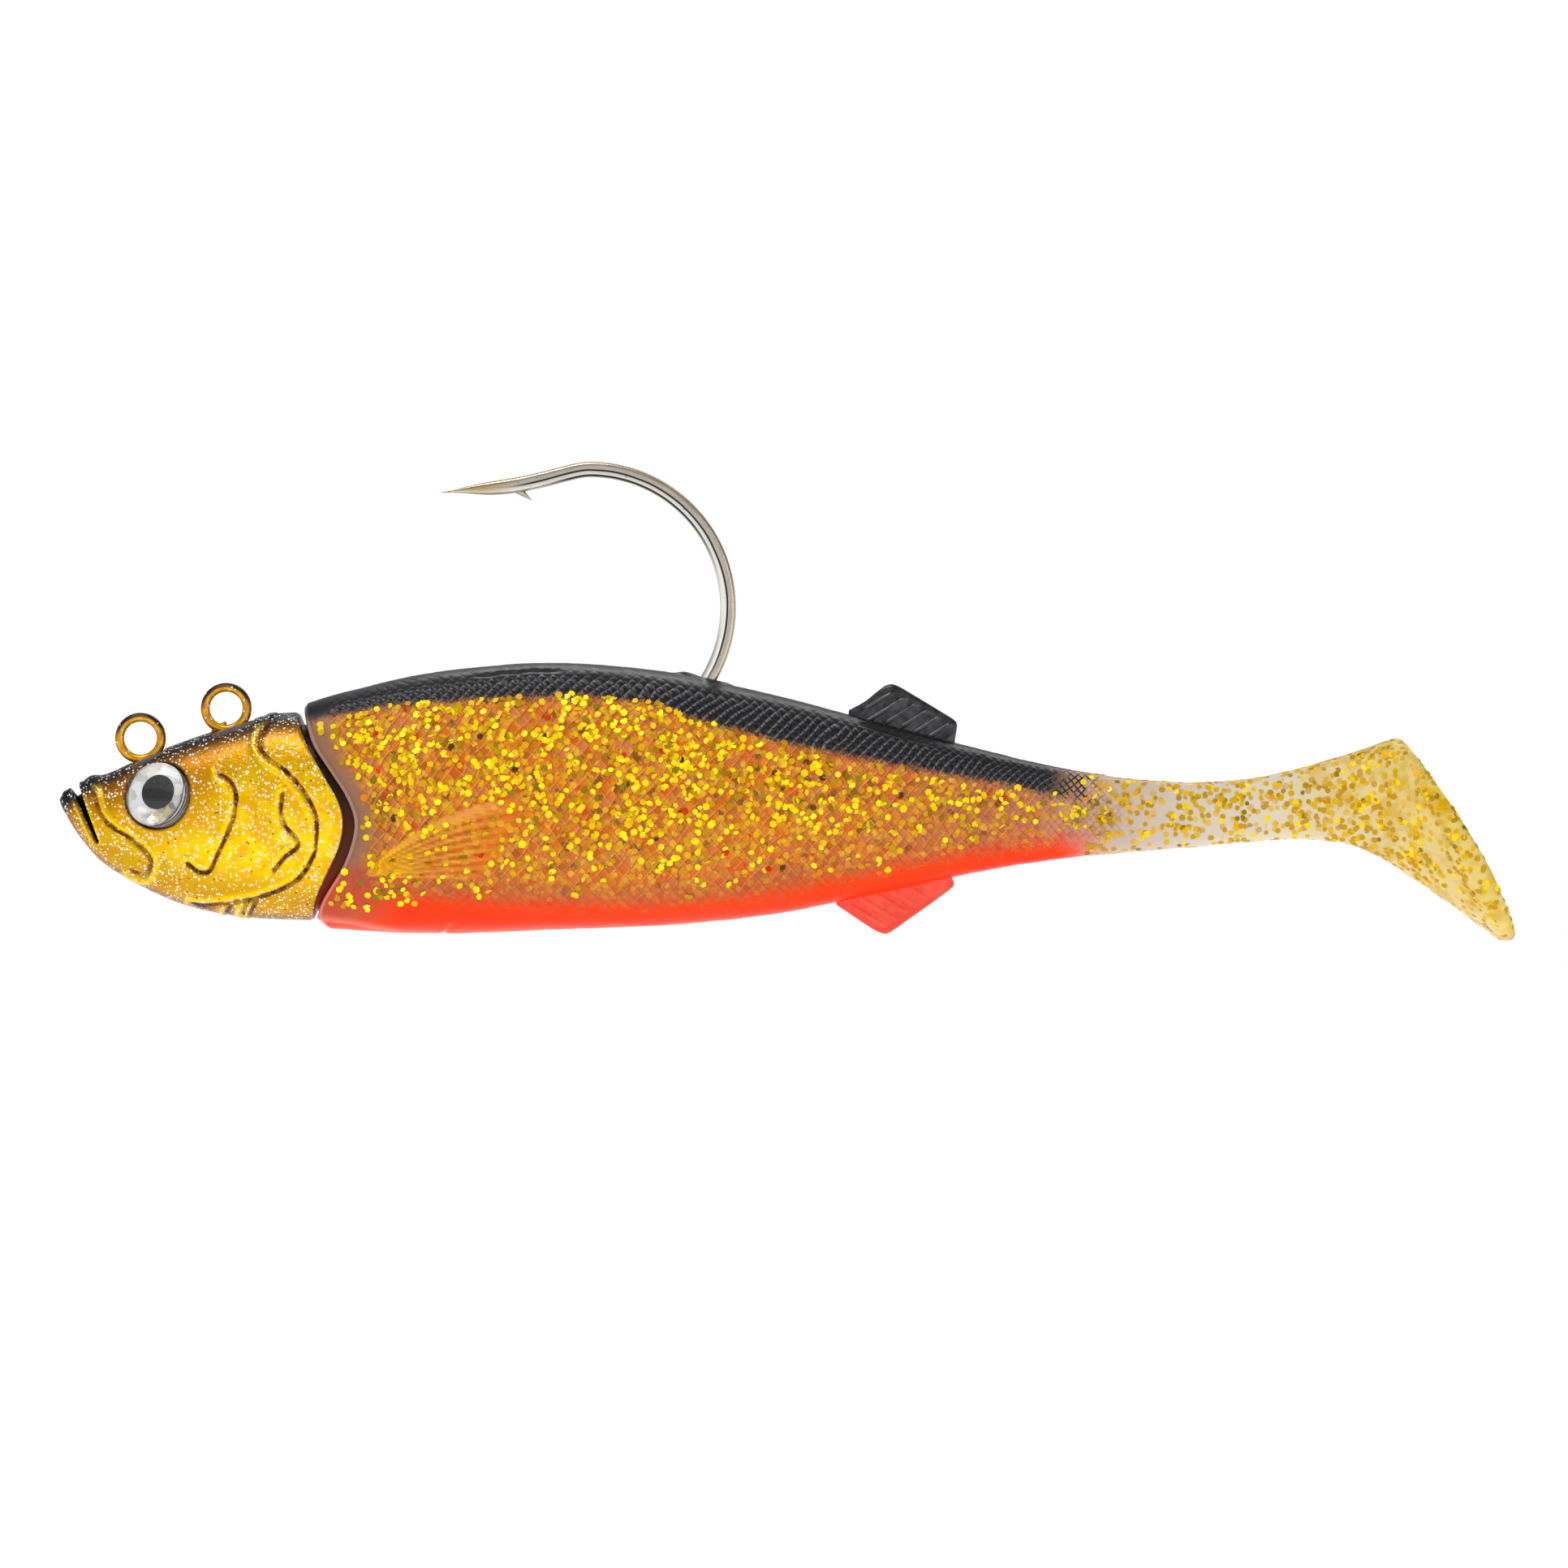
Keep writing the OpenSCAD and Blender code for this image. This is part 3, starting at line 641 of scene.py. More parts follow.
    # sprayed back
    net = g.most(g.step(fv_, 0.78, 0.9), g.step(fu_, 0.78, 0.9))
    net = g.most(net, g.most(g.step(fv_, 0.22, 0.1), g.step(fu_, 0.22, 0.1)))
    net = g.most(g.mul(net, g.step(n_mid, 0.36, 0.5)), g.step(n_fine, 0.62, 0.7))
    thin = g.step(g.plus(s, g.mul(specks, 0.8)), 139.0, 146.0)
    black_m = g.step(g.plus(black, g.plus(g.mul(specks, 0.5), g.mul(wide, 0.5))), -0.7, 0.9)
    black_m = g.mul(black_m, g.rest_of(g.mul(thin, g.rest_of(net))))
    black_m = g.mul(black_m, g.step(g.plus(s, g.mul(specks, 0.6)), 146.0, 148.6, flip=True))
    ink_with_painted_light = g.mix(g.step(n_fine, 0.3, 0.8), rgb(34, 33, 37), rgb(48, 46, 51))
    # painted highlight on the upper edges of the black scales, painted shade in the gaps between them
    lit_edge = g.mul(g.step(fv_, 0.02, 0.12), g.step(fv_, 0.36, 0.18), g.step(fu_, 0.06, 0.3))
    lit_top = g.mul(g.step(fu_, 0.70, 0.82), g.step(fu_, 0.98, 0.90), g.step(fv_, 0.7, 0.2))
    lit_edge = g.most(lit_edge, g.mul(lit_top, 0.6))
    ink_with_painted_light = g.mix(g.mul(lit_edge, fade_, 0.7), ink_with_painted_light, rgb(134, 130, 132))
    gap_shade = g.most(g.step(fv_, 0.80, 0.97), g.step(fu_, 0.12, 0.02))
    ink_with_painted_light = g.mix(g.mul(gap_shade, fade_, 0.75), ink_with_painted_light, rgb(15, 14, 17))
    col = g.mix(black_m, col, ink_with_painted_light)
    rim_light = g.mul(g.step(s, 25.6, 24.6), g.step(out_, 0.6, 1.0))
    col = g.mix(g.mul(rim_light, g.less(0.45, g.mul(black_m, 0.4))), col, rgb(226, 186, 166))
    # the recess and lip at the front; the recess is coloured with painted shade, dark red low to near black
    # high
    deep_z = g.span(g.split(rest)[2], -28.0, 4.0)
    recess_shade = g.ramp(deep_z, [(0.0, plain(140, 36, 20)), (0.3, plain(84, 34, 12)), (0.6, plain(46, 25, 8)),
                             (0.9, plain(22, 15, 8))])
    col = g.mix(g.rest_of(out_), col, recess_shade)
    height = g.plus(g.mul(g.math("POWER", fv_, 3.0), 0.8), g.mul(g.math("POWER", fu_, 3.0), 0.5))
    edge = g.least(fu_, g.rest_of(fu_), g.least(fv_, g.rest_of(fv_)))
    shingle = g.mul(g.step(edge, 0.0, 0.2), g.less(1.9, fv_))
    height = g.mul(g.add("Mix", {0: black_m, 2: height, 3: shingle}), fade_)
    height = g.plus(height, g.mul(g.noise(rest, 1.4, 4, 0.6), 0.35))
    normal = g.bump(height, 0.00007, 0.8)
    rough = g.span(n_mid, 0.2, 0.8, 0.24, 0.4)
    shine = g.span(black_m, 0.0, 1.0, 0.24, 0.5)
    shine = g.mul(shine, g.rest_of(g.mul(belly_m, 0.6)))
    return g.surface(Base_Color=col, Roughness=rough, Normal=normal, Subsurface_Weight=0.1,
                     Subsurface_Scale=0.001, IOR=1.42, Specular_IOR_Level=shine)


skin_mat = skin_material("soft_plastic_printed")
for name, ob in skins.items():
    paint(ob, skin_mat)
    bend(ob, *SKINS[name][2:])
    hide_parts(*SKIN_STANDS_FOR[name])


# ---------------------------------------------------------------- glitter flakes in the skin
def flake_density():
    """Flakes wanted per square millimetre at each skin vertex."""
    rel = (Z - zr) / np.maximum(zb - zr, 1)
    body = (0.12 + 0.76 * ease(rel * 1.3)) * (S < 150)
    margin = 2.2 * ease((S - 84) / 16)
    body = body * (1 - 0.85 * ease((black_d + margin) / (0.9 + 0.6 * margin))) * (1 - ease(black_d / 0.9))
    corner = 0.6 * ease((47 - X) / 9) * ease((-16 - Z) / 3) * ease((Z + 27.5) / 3)
    body = body * (1 - ease((belly_d + 1.8) / 2.2)) + corner
    body = body * (1 - 0.3 * ease((S - 105) / 25)) * (0.2 + 0.8 * ease((S - 26) / 6))
    tail = np.where(S < 174, 0.58, 0.62) * ease((S - 144) / 4)
    clump = 0.10 + 3.4 * value_noise(X, Y, Z, 11, 2.4) ** 1.7 * (0.3 + 1.0 * value_noise(X, Y, Z, 12, 7.0))
    return np.where(outer, (body + tail) * clump * (1 - 0.55 * inside), 0)


density = flake_density()
# flakes tried over those wanted, the share that may lie close, and the distance the rest keep
CROWD, LOOSE, APART = 1.30, 0.38, 0.92
FLAKE_HALF, FLAKE_THICK = 0.54, 0.045
FLAKES_WIDEST = 13.26     # no flake stands further out than this on either side


def flakes(name, i0, i1, bodies, x0, x1):
    p = P[i0:i1 + 1]
    a, b = p[:-1], np.roll(p, -1, 1)[:-1]
    c, d = p[1:], np.roll(p, -1, 1)[1:]
    cr = np.cross(d - a, c - b)
    area = np.linalg.norm(cr, axis=2) / 2
    nrm = cr / np.maximum(np.linalg.norm(cr, axis=2, keepdims=True), 1e-12)
    nrm *= np.sign((nrm * NV[i0:i1]).sum(2, keepdims=True))
    wgt = (area * density[i0:i1]).ravel()
    count = int(wgt.sum() * CROWD)
    pick = rng.choice(len(wgt), count, p=wgt / wgt.sum())
    i, k = pick // GIRTH, pick % GIRTH
    s, t = rng.random((2, count, 1))
    at = (1 - s) * ((1 - t) * a[i, k] + t * b[i, k]) + s * ((1 - t) * c[i, k] + t * d[i, k])
    n = nrm[i, k]
    tree = KDTree(count)                    # most flakes keep clear of their neighbours
    for m in range(count):
        tree.insert(at[m], m)
    tree.balance()
    loose, kept = rng.random(count) < LOOSE + 0.4 * ease((at[:, 0] - 136) / 12), np.ones(count, bool)
    for m in np.nonzero(~loose)[0]:
        kept[m] = not any(j < m and kept[j] for _, j, _ in tree.find_range(at[m], APART))
    at, n, count = at[kept], n[kept], int(kept.sum())
    clear = ease((at[:, 0] - 140) / 12)
    tilt = np.clip(rng.normal(0, 0.13, (count, 3)), -0.2, 0.2) * (1 - 0.7 * clear[:, None])
    n = n + tilt
    n /= np.linalg.norm(n, axis=1, keepdims=True)
    spin = rng.random(count) * math.pi
    ref = np.tile([1.0, 0, 0], (count, 1))
    t1 = ref - (ref * n).sum(1, keepdims=True) * n
    t1 /= np.linalg.norm(t1, axis=1, keepdims=True)
    t2 = np.cross(n, t1)
    size = np.clip(rng.normal(FLAKE_HALF, 0.06, count), 0.32, 0.66) * (1 - 0.14 * clear)
    lift = (rng.random(count) * 0.05 + 0.01) * (1 - clear) - 0.03 * clear
    ring_top, ring_bot = [], []
    for j in range(6):
        w = spin + j * math.pi / 3
        off = size[:, None] * (np.cos(w)[:, None] * t1 + np.sin(w)[:, None] * t2)
        ring_top.append(at + off + (lift + FLAKE_THICK)[:, None] * n)
        ring_bot.append(at + off + lift[:, None] * n)
    verts = np.stack(ring_top + ring_bot, 1)
    past = np.maximum(np.abs(verts[..., 1]).max(1) - FLAKES_WIDEST, 0)
    verts[..., 1] -= (past * np.sign(at[:, 1]))[:, None]
    verts = verts.reshape(-1, 3)
    faces = []
    for m in range(count):
        o = 12 * m
        faces.append([o + j for j in range(6)])
        faces.append([o + 6 + j for j in range(5, -1, -1)])
        for j in range(6):
            j2 = (j + 1) % 6
            faces.append([o + 6 + j, o + 6 + j2, o + j2, o + j])
    tone = rng.random(count)
    tone = np.where(clear > 0.5, 0.07 + 0.36 * tone**1.1, tone)
    ob = new_object(name, verts, faces, {"tone": np.repeat(tone, 12), "rest": verts}, smooth=False)
    bend(ob, bodies, x0, x1)
    return ob


def flake_material():
    g = Nodes("foil_flakes")
    tone = g.attr("tone", "Fac")
    col = g.ramp(tone, TONES, "CONSTANT")
    n = g.noise(g.attr("rest"), 1.5, 2)
    col = g.mix(g.mul(g.step(n, 0.4, 0.8), 0.25), col, rgb(214, 150, 10))
    rough = g.span(n, 0.3, 0.7, 0.28, 0.42)
    return g.surface(Base_Color=col, Roughness=rough, IOR=1.4, Metallic=0.32, Specular_IOR_Level=0.3)


flake_mat = flake_material()
for name, (i0, i1, bodies, x0, x1) in SKINS.items():
    ob = flakes(name.replace("skin", "flakes"), i0, i1, bodies, x0, x1)
    paint(ob, flake_mat)

# ---------------------------------------------------------------- head
EYE_AT, EYE_UP, EYE_FORE, EYE_R = np.array([3.2, -7.25, -8.7]), 13, 22, 5.0


def eye_matrix(side):
    m = (Matrix.Rotation(math.radians(-EYE_FORE), 4, "Z") @ Matrix.Rotation(math.radians(90 - EYE_UP), 4,
                "X"))
    m = np.array(m)[:3, :3]
    at = EYE_AT.copy()
    if side > 0:
        flip = np.diag([1.0, -1.0, 1.0])
        m, at = flip @ m, flip @ at
    return m, at


HEAD_N = 360
head_rings, head_s = [], []
for s in np.concatenate([[-12.38, -12.34, -12.26, -12.15], np.arange(-12.0, 24.01, 0.19)]):
    y, z, l = outline(HEAD_N, HEAD_HALF_W * float(curve(head_wid, s)), float(curve(head_top, s)),
                      float(curve(head_bot, s)), E)
    head_rings.append(np.stack([s + curve(head_back, z) * ease((s - 5) / 19), y, z], 1))
    head_s.append(s)
edge = head_rings[-1]
ny, nz, _ = outline(HEAD_N, *NECK, E)
for t in np.linspace(0, 1, 14)[1:]:         # rounded rear edge, then the back face down to the neck
    dx = 0.55 * math.sin(min(t / 0.16, 1) * math.pi / 2)
    y, z = edge[:, 1] + (ny - edge[:, 1]) * t, edge[:, 2] + (nz - edge[:, 2]) * t
    head_rings.append(np.stack([24.0 + curve(head_back, z) + dx - 0.15, y, z], 1))
    head_s.append(24.0 + t)
back = head_rings[-1]
for t in np.linspace(0, 1, 20)[1:]:
    head_rings.append(np.stack([back[:, 0] + (NECK_END - 0.1 - back[:, 0]) * t, ny, nz], 1))
    head_s.append(25.0 + t)
H = np.array(head_rings)
HS = np.repeat(np.array(head_s)[:, None], HEAD_N, 1)
hn = grid_normals(H)
hx, hy, hz = H[..., 0], H[..., 1], H[..., 2]
on_face = HS <= 24.0

GROOVES = {
    "maxilla": [(-7, -8.4), (-5.7, -11.8), (-3.6, -13.9), (-1.1, -15.4), (1.4, -17.5), (2.15, -19.3),
                (1.1, -21.1), (-1.1, -20.4)],
    "cheek": [(12.9, -5.5), (14.7, -6.75), (15.5, -8.9), (15.1, -12.1), (14, -15), (12.6, -17.9),
              (11.3, -20.4), (9.7, -20.6), (7.9, -19.3)],
    "opercle_fold": [(22.6, -8.55), (22.4, -11.1), (23.15, -13.6), (24.8, -15.4), (24.8, -16.8), (23, -18.2),
                     (21.2, -20.4)],
    "gill_cover": [(20.45, 2.6), (19.2, 0.4), (19, -1.4), (20.45, -3.2), (22.6, -4.6), (24.8, -6.75),
                   (26.55, -9.3), (27.8, -12.1), (27.8, -15.4), (27.3, -18.2), (25.1, -21.5),
                   (22.25, -23.25), (18.7, -24.5), (15.1, -25.2), (10.4, -25.8), (8.25, -25.6)],
    "ray_a": [(14.3, -25.8), (13.6, -26.7)],
    "ray_b": [(16.9, -25.1), (16.2, -26.8)],
    "ray_c": [(18.5, -24.9), (17.2, -27)],
}
GROOVE_HALF, GROOVE_DEEP = 0.56, 0.42
groove = np.zeros(hx.shape)
bright = np.zeros(hx.shape)
for word, pts in GROOVES.items():
    turn = -1 if word == "maxilla" else 1
    d, side = polyline_distance(hx, hz, smooth_path(pts, 6) if len(pts) > 2 else pts)
    groove = np.maximum(groove, np.clip(1 - d / GROOVE_HALF, 0, 1))
    bright = np.maximum(bright, np.exp(-(((d - 0.95) / 0.42) ** 2)) * (side * turn < 0))
slit_d, _ = polyline_distance(hx, hz, [(-10.4, -6.6), (-9.5, -8.55), (-6.45, -15.9)])
slit_half = np.interp(hz, [-16, -12, -8, -6.5], [0.26, 0.40, 0.50, 0.62])
mouth = ease(1 - (slit_d - slit_half) / 0.22)
lip_edge = np.exp(-(((slit_d - slit_half - 0.42) / 0.26) ** 2)) * (hz > -16.5)
groove, bright, mouth = groove * on_face, np.maximum(bright, 0.8 * lip_edge) * on_face, mouth * on_face
FACETS = ([(-1.4, -4.0), (3.8, -1.9)], [(11.2, 0.75), (17.8, 2.7)])
facet = np.zeros(hx.shape)
for (ax, az), (bx, bz) in FACETS:           # flat glossy pads where the wires enter
    d, _ = polyline_distance(hx, hz, [(ax + 0.7, az), (bx - 0.7, bz)])
    facet = np.maximum(facet, ease((0.75 - d) / 0.22) * on_face)
lumpy = 0.10 * (value_noise(hx, hy, hz, 5, 3.2) - 0.5) * on_face
groove = groove * (1 - mouth)
relief = lumpy * (1 - facet) - GROOVE_DEEP * groove + 0.26 * bright - 1.3 * mouth - 0.12 * facet
H = H + hn * relief[..., None]
socket_shade_mask = np.zeros(hx.shape)
for side in (-1, 1):
    m, at = eye_matrix(side)
    loc = (H - at) @ m
    r = np.hypot(loc[..., 0], loc[..., 1])
    near = (H[..., 1] * side > 0) & (loc[..., 2] > -6)
    f = ease((EYE_R + 0.32 - r) / 0.3) * near
    loc[..., 2] = loc[..., 2] + (-2.2 - loc[..., 2]) * f
    H = loc @ m.T + at if side < 0 else np.where(near[..., None], loc @ m.T + at, H)
    socket_shade_mask = np.maximum(socket_shade_mask, np.where(near, ease((EYE_R + 0.75 - r) / 0.5), 0))
head_attrs = {"rest": H, "marks": np.stack([groove, bright, mouth], -1),
              "area": np.stack([socket_shade_mask, HS, curve(head_top, np.minimum(HS, 24)) - H[..., 2]], -1),
              "above": H[..., 2] - curve(head_bot, np.minimum(HS, 24)), "facet": facet}
head = closed_loft("head_casting", H, head_attrs)
head.data.set_sharp_from_angle(angle=math.radians(50))


def head_material():
    g = Nodes("head_lacquer")
    rest, marks, area = g.attr("rest"), g.attr("marks"), g.attr("area")
    x, y, z = g.split(rest)
    gr, br, mo = g.split(marks)
    eye_ring_shade, s, down = g.split(area)
    up = g.attr("above", "Fac")
    n_mid, n_fine = g.noise(rest, 0.35, 3), g.noise(rest, 3.0, 3, 0.6)
    wob = g.swing(n_mid, 6.0)
    spr = g.swing(n_fine, 3.0)
    n_wide = g.noise(rest, 0.16, 3, 0.6)
    col = g.mix(g.step(n_mid, 0.34, 0.66), (1.0, 0.68, 0.0, 1), (0.90, 0.46, 0.0, 1))
    col = g.mix(g.mul(g.step(n_wide, 0.5, 0.68), 0.3), col, (0.68, 0.29, 0.0, 1))
    # brown-orange shading round and above the eye, over the cheek and under the jaw
    eye_d = g.add("VectorMath", {0: g.add("CombineXYZ", {0: x, 1: 0.0, 2: z}), 1: (4.0, 0.0, -6.5)}, out=1,
                  operation="DISTANCE")
    near_eye = g.step(g.plus(eye_d, wob), 12.0, 5.0)
    col = g.mix(g.mul(near_eye, 0.6), col, (0.62, 0.21, 0.001, 1))
    top_brown = g.step(g.plus(down, wob), 10.0, 2.5)
    col = g.mix(g.mul(top_brown, 0.85), col, (0.50, 0.165, 0.002, 1))
    top_dark = g.step(g.plus(down, g.mul(spr, 0.6)), 4.4, 1.4)
    col = g.mix(g.mul(top_dark, 0.85), col, (0.085, 0.036, 0.010, 1))
    low = g.step(g.plus(up, g.mul(wob, 0.8)), 9.5, 2.5)
    col = g.mix(g.mul(low, 0.65), col, (0.40, 0.175, 0.0, 1))
    # darker red-brown along the head's bottom edge
    bottom_edge_dark = g.step(g.plus(up, g.mul(spr, 0.3)), 1.4, 0.15)
    col = g.mix(g.mul(bottom_edge_dark, 0.85), col, (0.20, 0.040, 0.008, 1))
    # black band on top, black lips
    band = g.step(g.plus(down, g.mul(spr, 0.5)), 2.2, 0.6)
    slope = g.plus(g.mul(x, 0.75), g.mul(z, -1.0))
    lips = g.mul(g.step(g.plus(slope, g.mul(spr, 0.8)), 4.4, 1.2),
                 g.step(g.plus(x, g.mul(spr, 0.5)), -4.0, -6.6))
    # bright yellow along the raised side of each groove and the mouth's edge: painted highlight
    col = g.mix(g.mul(br, 0.75), col, (1.0, 0.68, 0.0, 1))
    col = g.mix(g.most(band, lips), col, (0.022, 0.020, 0.024, 1))
    # dark red-brown to near black in the gill grooves: painted shade, patchy along each line
    painted_dark_line = g.step(g.plus(gr, g.swing(n_mid, 0.5)), 0.12, 0.66)
    shade_patches = g.span(g.noise(rest, 0.45, 2), 0.38, 0.58, 0.55, 1.0)
    painted_dark_line = g.mul(painted_dark_line, shade_patches)
    col = g.mix(painted_dark_line, col, g.mix(g.step(n_mid, 0.4, 0.6), (0.22, 0.045, 0.004, 1),
                                 (0.050, 0.012, 0.010, 1)))
    # glitter specks
    spots = 0.0
    crowd = g.span(g.noise(rest, 0.5, 2), 0.3, 0.7, 0.45, 1.35)
    for k, (scale, size, share) in enumerate(((2.0, 0.33, 0.34), (2.6, 0.36, 0.30))):
        shifted = g.add("VectorMath", {0: rest, 1: (2.3 * k, 4.1 * k, 0.9 * k)})
        d, c = g.voronoi(shifted, scale)
        cr, cg, cb = g.split(c)
        spot = g.mul(g.step(d, size + 0.04, size), g.math("LESS_THAN", cr, g.mul(crowd, share)))
        spot = g.mul(spot, g.rest_of(g.mul(painted_dark_line, 0.85)))
        tint = g.ramp(cg, [(0.0, plain(252, 252, 252)), (0.6, plain(226, 222, 228)),
                           (0.8, rgb(255, 232, 150)), (0.93, rgb(120, 80, 40))], "CONSTANT")
        col = g.mix(g.mul(spot, 0.9), col, tint)
        spots = g.most(spots, spot)
    # light grey on the flat pads where the wires enter: painted reflection on the black paint
    pad = g.attr("facet", "Fac")
    col = g.mix(g.mul(pad, 0.9), col, plain(84, 83, 90))
    # dark brown ring round each eye socket: painted shade
    col = g.mix(g.mul(eye_ring_shade, 0.85), col, (0.090, 0.026, 0.006, 1))
    # dark inside the mouth slit: painted shade
    col = g.mix(g.step(mo, 0.15, 0.6), col, rgb(34, 26, 24))
    # the neck behind the head's rear edge: painted shade over its brown-red paint, near black high up
    hidden = g.step(s, 24.05, 24.4)
    neck_z = g.span(z, -28.0, 4.0)
    neck_shade = g.ramp(neck_z, [(0.0, plain(168, 48, 20)), (0.3, plain(92, 38, 10)), (0.6, plain(52, 28, 8)),
                           (0.9, plain(22, 15, 8))])
    col = g.mix(hidden, col, neck_shade)
    height = g.plus(g.noise(rest, 1.2, 4, 0.6), g.mul(g.voronoi(rest, 2.6)[0], 0.3))
    rough = g.span(n_fine, 0.2, 0.8, 0.26, 0.42)
    rough = g.mul(rough, g.rest_of(g.mul(pad, 0.7)))
    gilt = g.mul(g.rest_of(spots), g.less(0.55, g.mul(hidden, 0.55)))
    return g.surface(Base_Color=col, Roughness=rough, Metallic=gilt, Normal=g.bump(height, 0.00009, 0.8),
                     Coat_Weight=0.06, Coat_Roughness=0.06, IOR=1.42, Specular_IOR_Level=0.15)


on_head(head, head_material(), "jig_head")


# ---------------------------------------------------------------- eyes
def lathe(name, profile, side, steps=96, jitter=0.0, smooth=True, shift=(0, 0, 0)):
    """Closed solid of revolution in the eye's frame, (radius, height) from bottom middle to top middle."""
    m, at = eye_matrix(side)
    at = at + m @ (np.array([1, 1, 0]) * (m.T @ np.array(shift, float)))
    verts, faces = [(0, 0, profile[0][1])], []
    a = np.linspace(0, 2 * math.pi, steps, endpoint=False)
    for r, h in profile[1:-1]:
        j = rng.normal(0, jitter, steps) if jitter and h > profile[0][1] else 0
        for ang, hh in zip(a, np.full(steps, h) + j):
            verts.append((r * math.cos(ang), r * math.sin(ang), hh))
    verts.append((0, 0, profile[-1][1]))
    rows = len(profile) - 2
    for k in range(steps):
        k2 = (k + 1) % steps
        faces.append((0, 1 + k2, 1 + k))
        for i in range(rows - 1):
            b = 1 + i * steps
            faces.append((b + k, b + k2, b + steps + k2, b + steps + k))
        faces.append((1 + (rows - 1) * steps + k, 1 + (rows - 1) * steps + k2, len(verts) - 1))
    if side > 0:
        faces = [f[::-1] for f in faces]
    local = np.array(verts)
    return new_object(name, local @ m.T + at, faces, {"rest": local}, smooth)


def resin_material():
    g = Nodes("eye_resin")
    n = g.noise(g.attr("rest"), 0.8, 2)
    rough = g.span(n, 0.3, 0.7, 0.0, 0.03)
    return g.surface(Base_Color=g.mix(g.step(n, 0.3, 0.8), rgb(255, 255, 255), rgb(246, 249, 250)),
                     Roughness=rough, Transmission_Weight=1.0, IOR=1.45)


def foil_material():
    g = Nodes("eye_foil")
    rest = g.attr("rest")
    x, y, z = g.split(rest)
    d, c = g.voronoi(rest, 1.1)
    cr, cg, cb = g.split(c)
    col = g.ramp(cg, [(0.0, plain(255, 255, 253)), (0.3, plain(236, 238, 236)), (0.5, plain(255, 251, 238)),
                      (0.7, plain(214, 218, 208)), (0.85, plain(248, 242, 250))], "CONSTANT")
    low = g.step(g.less(g.mul(x, 0.7), g.mul(y, 0.7)), -0.6, 2.6)
    lick = g.mul(low, g.span(cb, 0.2, 0.8, 0.15, 0.95))
    col = g.mix(lick, col, g.ramp(cr, [(0.0, plain(150, 128, 70)), (0.35, plain(112, 128, 98)),
                                       (0.7, plain(70, 62, 44)), (0.85, plain(206, 188, 120))], "CONSTANT"))
    # the foil also glows a little: painted light standing in for light through the resin dome
    return g.surface(Base_Color=col, Roughness=g.span(cr, 0.0, 1.0, 0.22, 0.5), Metallic=0.1,
                     Normal=g.bump(cr, 0.0001, 0.5), Emission_Color=col, Emission_Strength=0.34)


def pupil_material():
    g = Nodes("eye_pupil")
    n = g.noise(g.attr("rest"), 2.0, 3)
    return g.surface(Base_Color=g.mix(n, rgb(14, 14, 15), rgb(30, 29, 30)),
                     Roughness=g.span(n, 0.3, 0.7, 0.5, 0.65))


def foam_material():
    g = Nodes("eye_foam")
    co = g.add("TexCoord", out="Object")
    n = g.noise(co, 4000.0, 2)
    return g.surface(Base_Color=g.mix(n, rgb(226, 226, 220), rgb(244, 244, 240)), Roughness=0.9,
                     Normal=g.bump(n, 0.00005, 0.6))


resin, foil, pupil, foam = resin_material(), foil_material(), pupil_material(), foam_material()
RISE = 1.4
DOME_R = (EYE_R**2 + RISE**2) / (2 * RISE)
for side, word in ((-1, "left"), (1, "right")):
    dome = [(0, -0.75), (EYE_R - 0.18, -0.75), (EYE_R - 0.04, -0.66), (EYE_R, -0.5), (EYE_R, 0.3),
            (EYE_R - 0.05, 0.44)]
    cap_r = np.linspace(EYE_R - 0.18, 0, 18)[:-1]
    dome += [(r, 0.5 + RISE - DOME_R + math.sqrt(DOME_R**2 - r * r)) for r in cap_r]
    dome += [(0, 0.5 + RISE)]
    on_head(lathe(word + "_eye_cap", dome, side), resin, word + "_eye_dome")
    disc = [(0, -1.0), (4.55, -1.0), (4.62, -0.95), (4.6, -0.86)]
    disc += [(r, -0.83) for r in np.linspace(4.4, 0.4, 11)] + [(0, -0.83)]
    iris = lathe(word + "_eye_iris", disc, side, steps=40, jitter=0.014, smooth=False)
    on_head(iris, foil, word + "_eye_foil")
    spot = [(0, -0.80), (2.42, -0.80), (2.46, -0.78), (2.42, -0.765), (0, -0.76)]
    on_head(lathe(word + "_eye_pupil", spot, side, shift=(0.1, 0, 0.42)), pupil)
    paint(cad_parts[word + "_eye_pad"], foam)


# ---------------------------------------------------------------- line ties
NOSE_TIE, TOP_TIE = (0.0, 0.0), (13.2, 4.6)


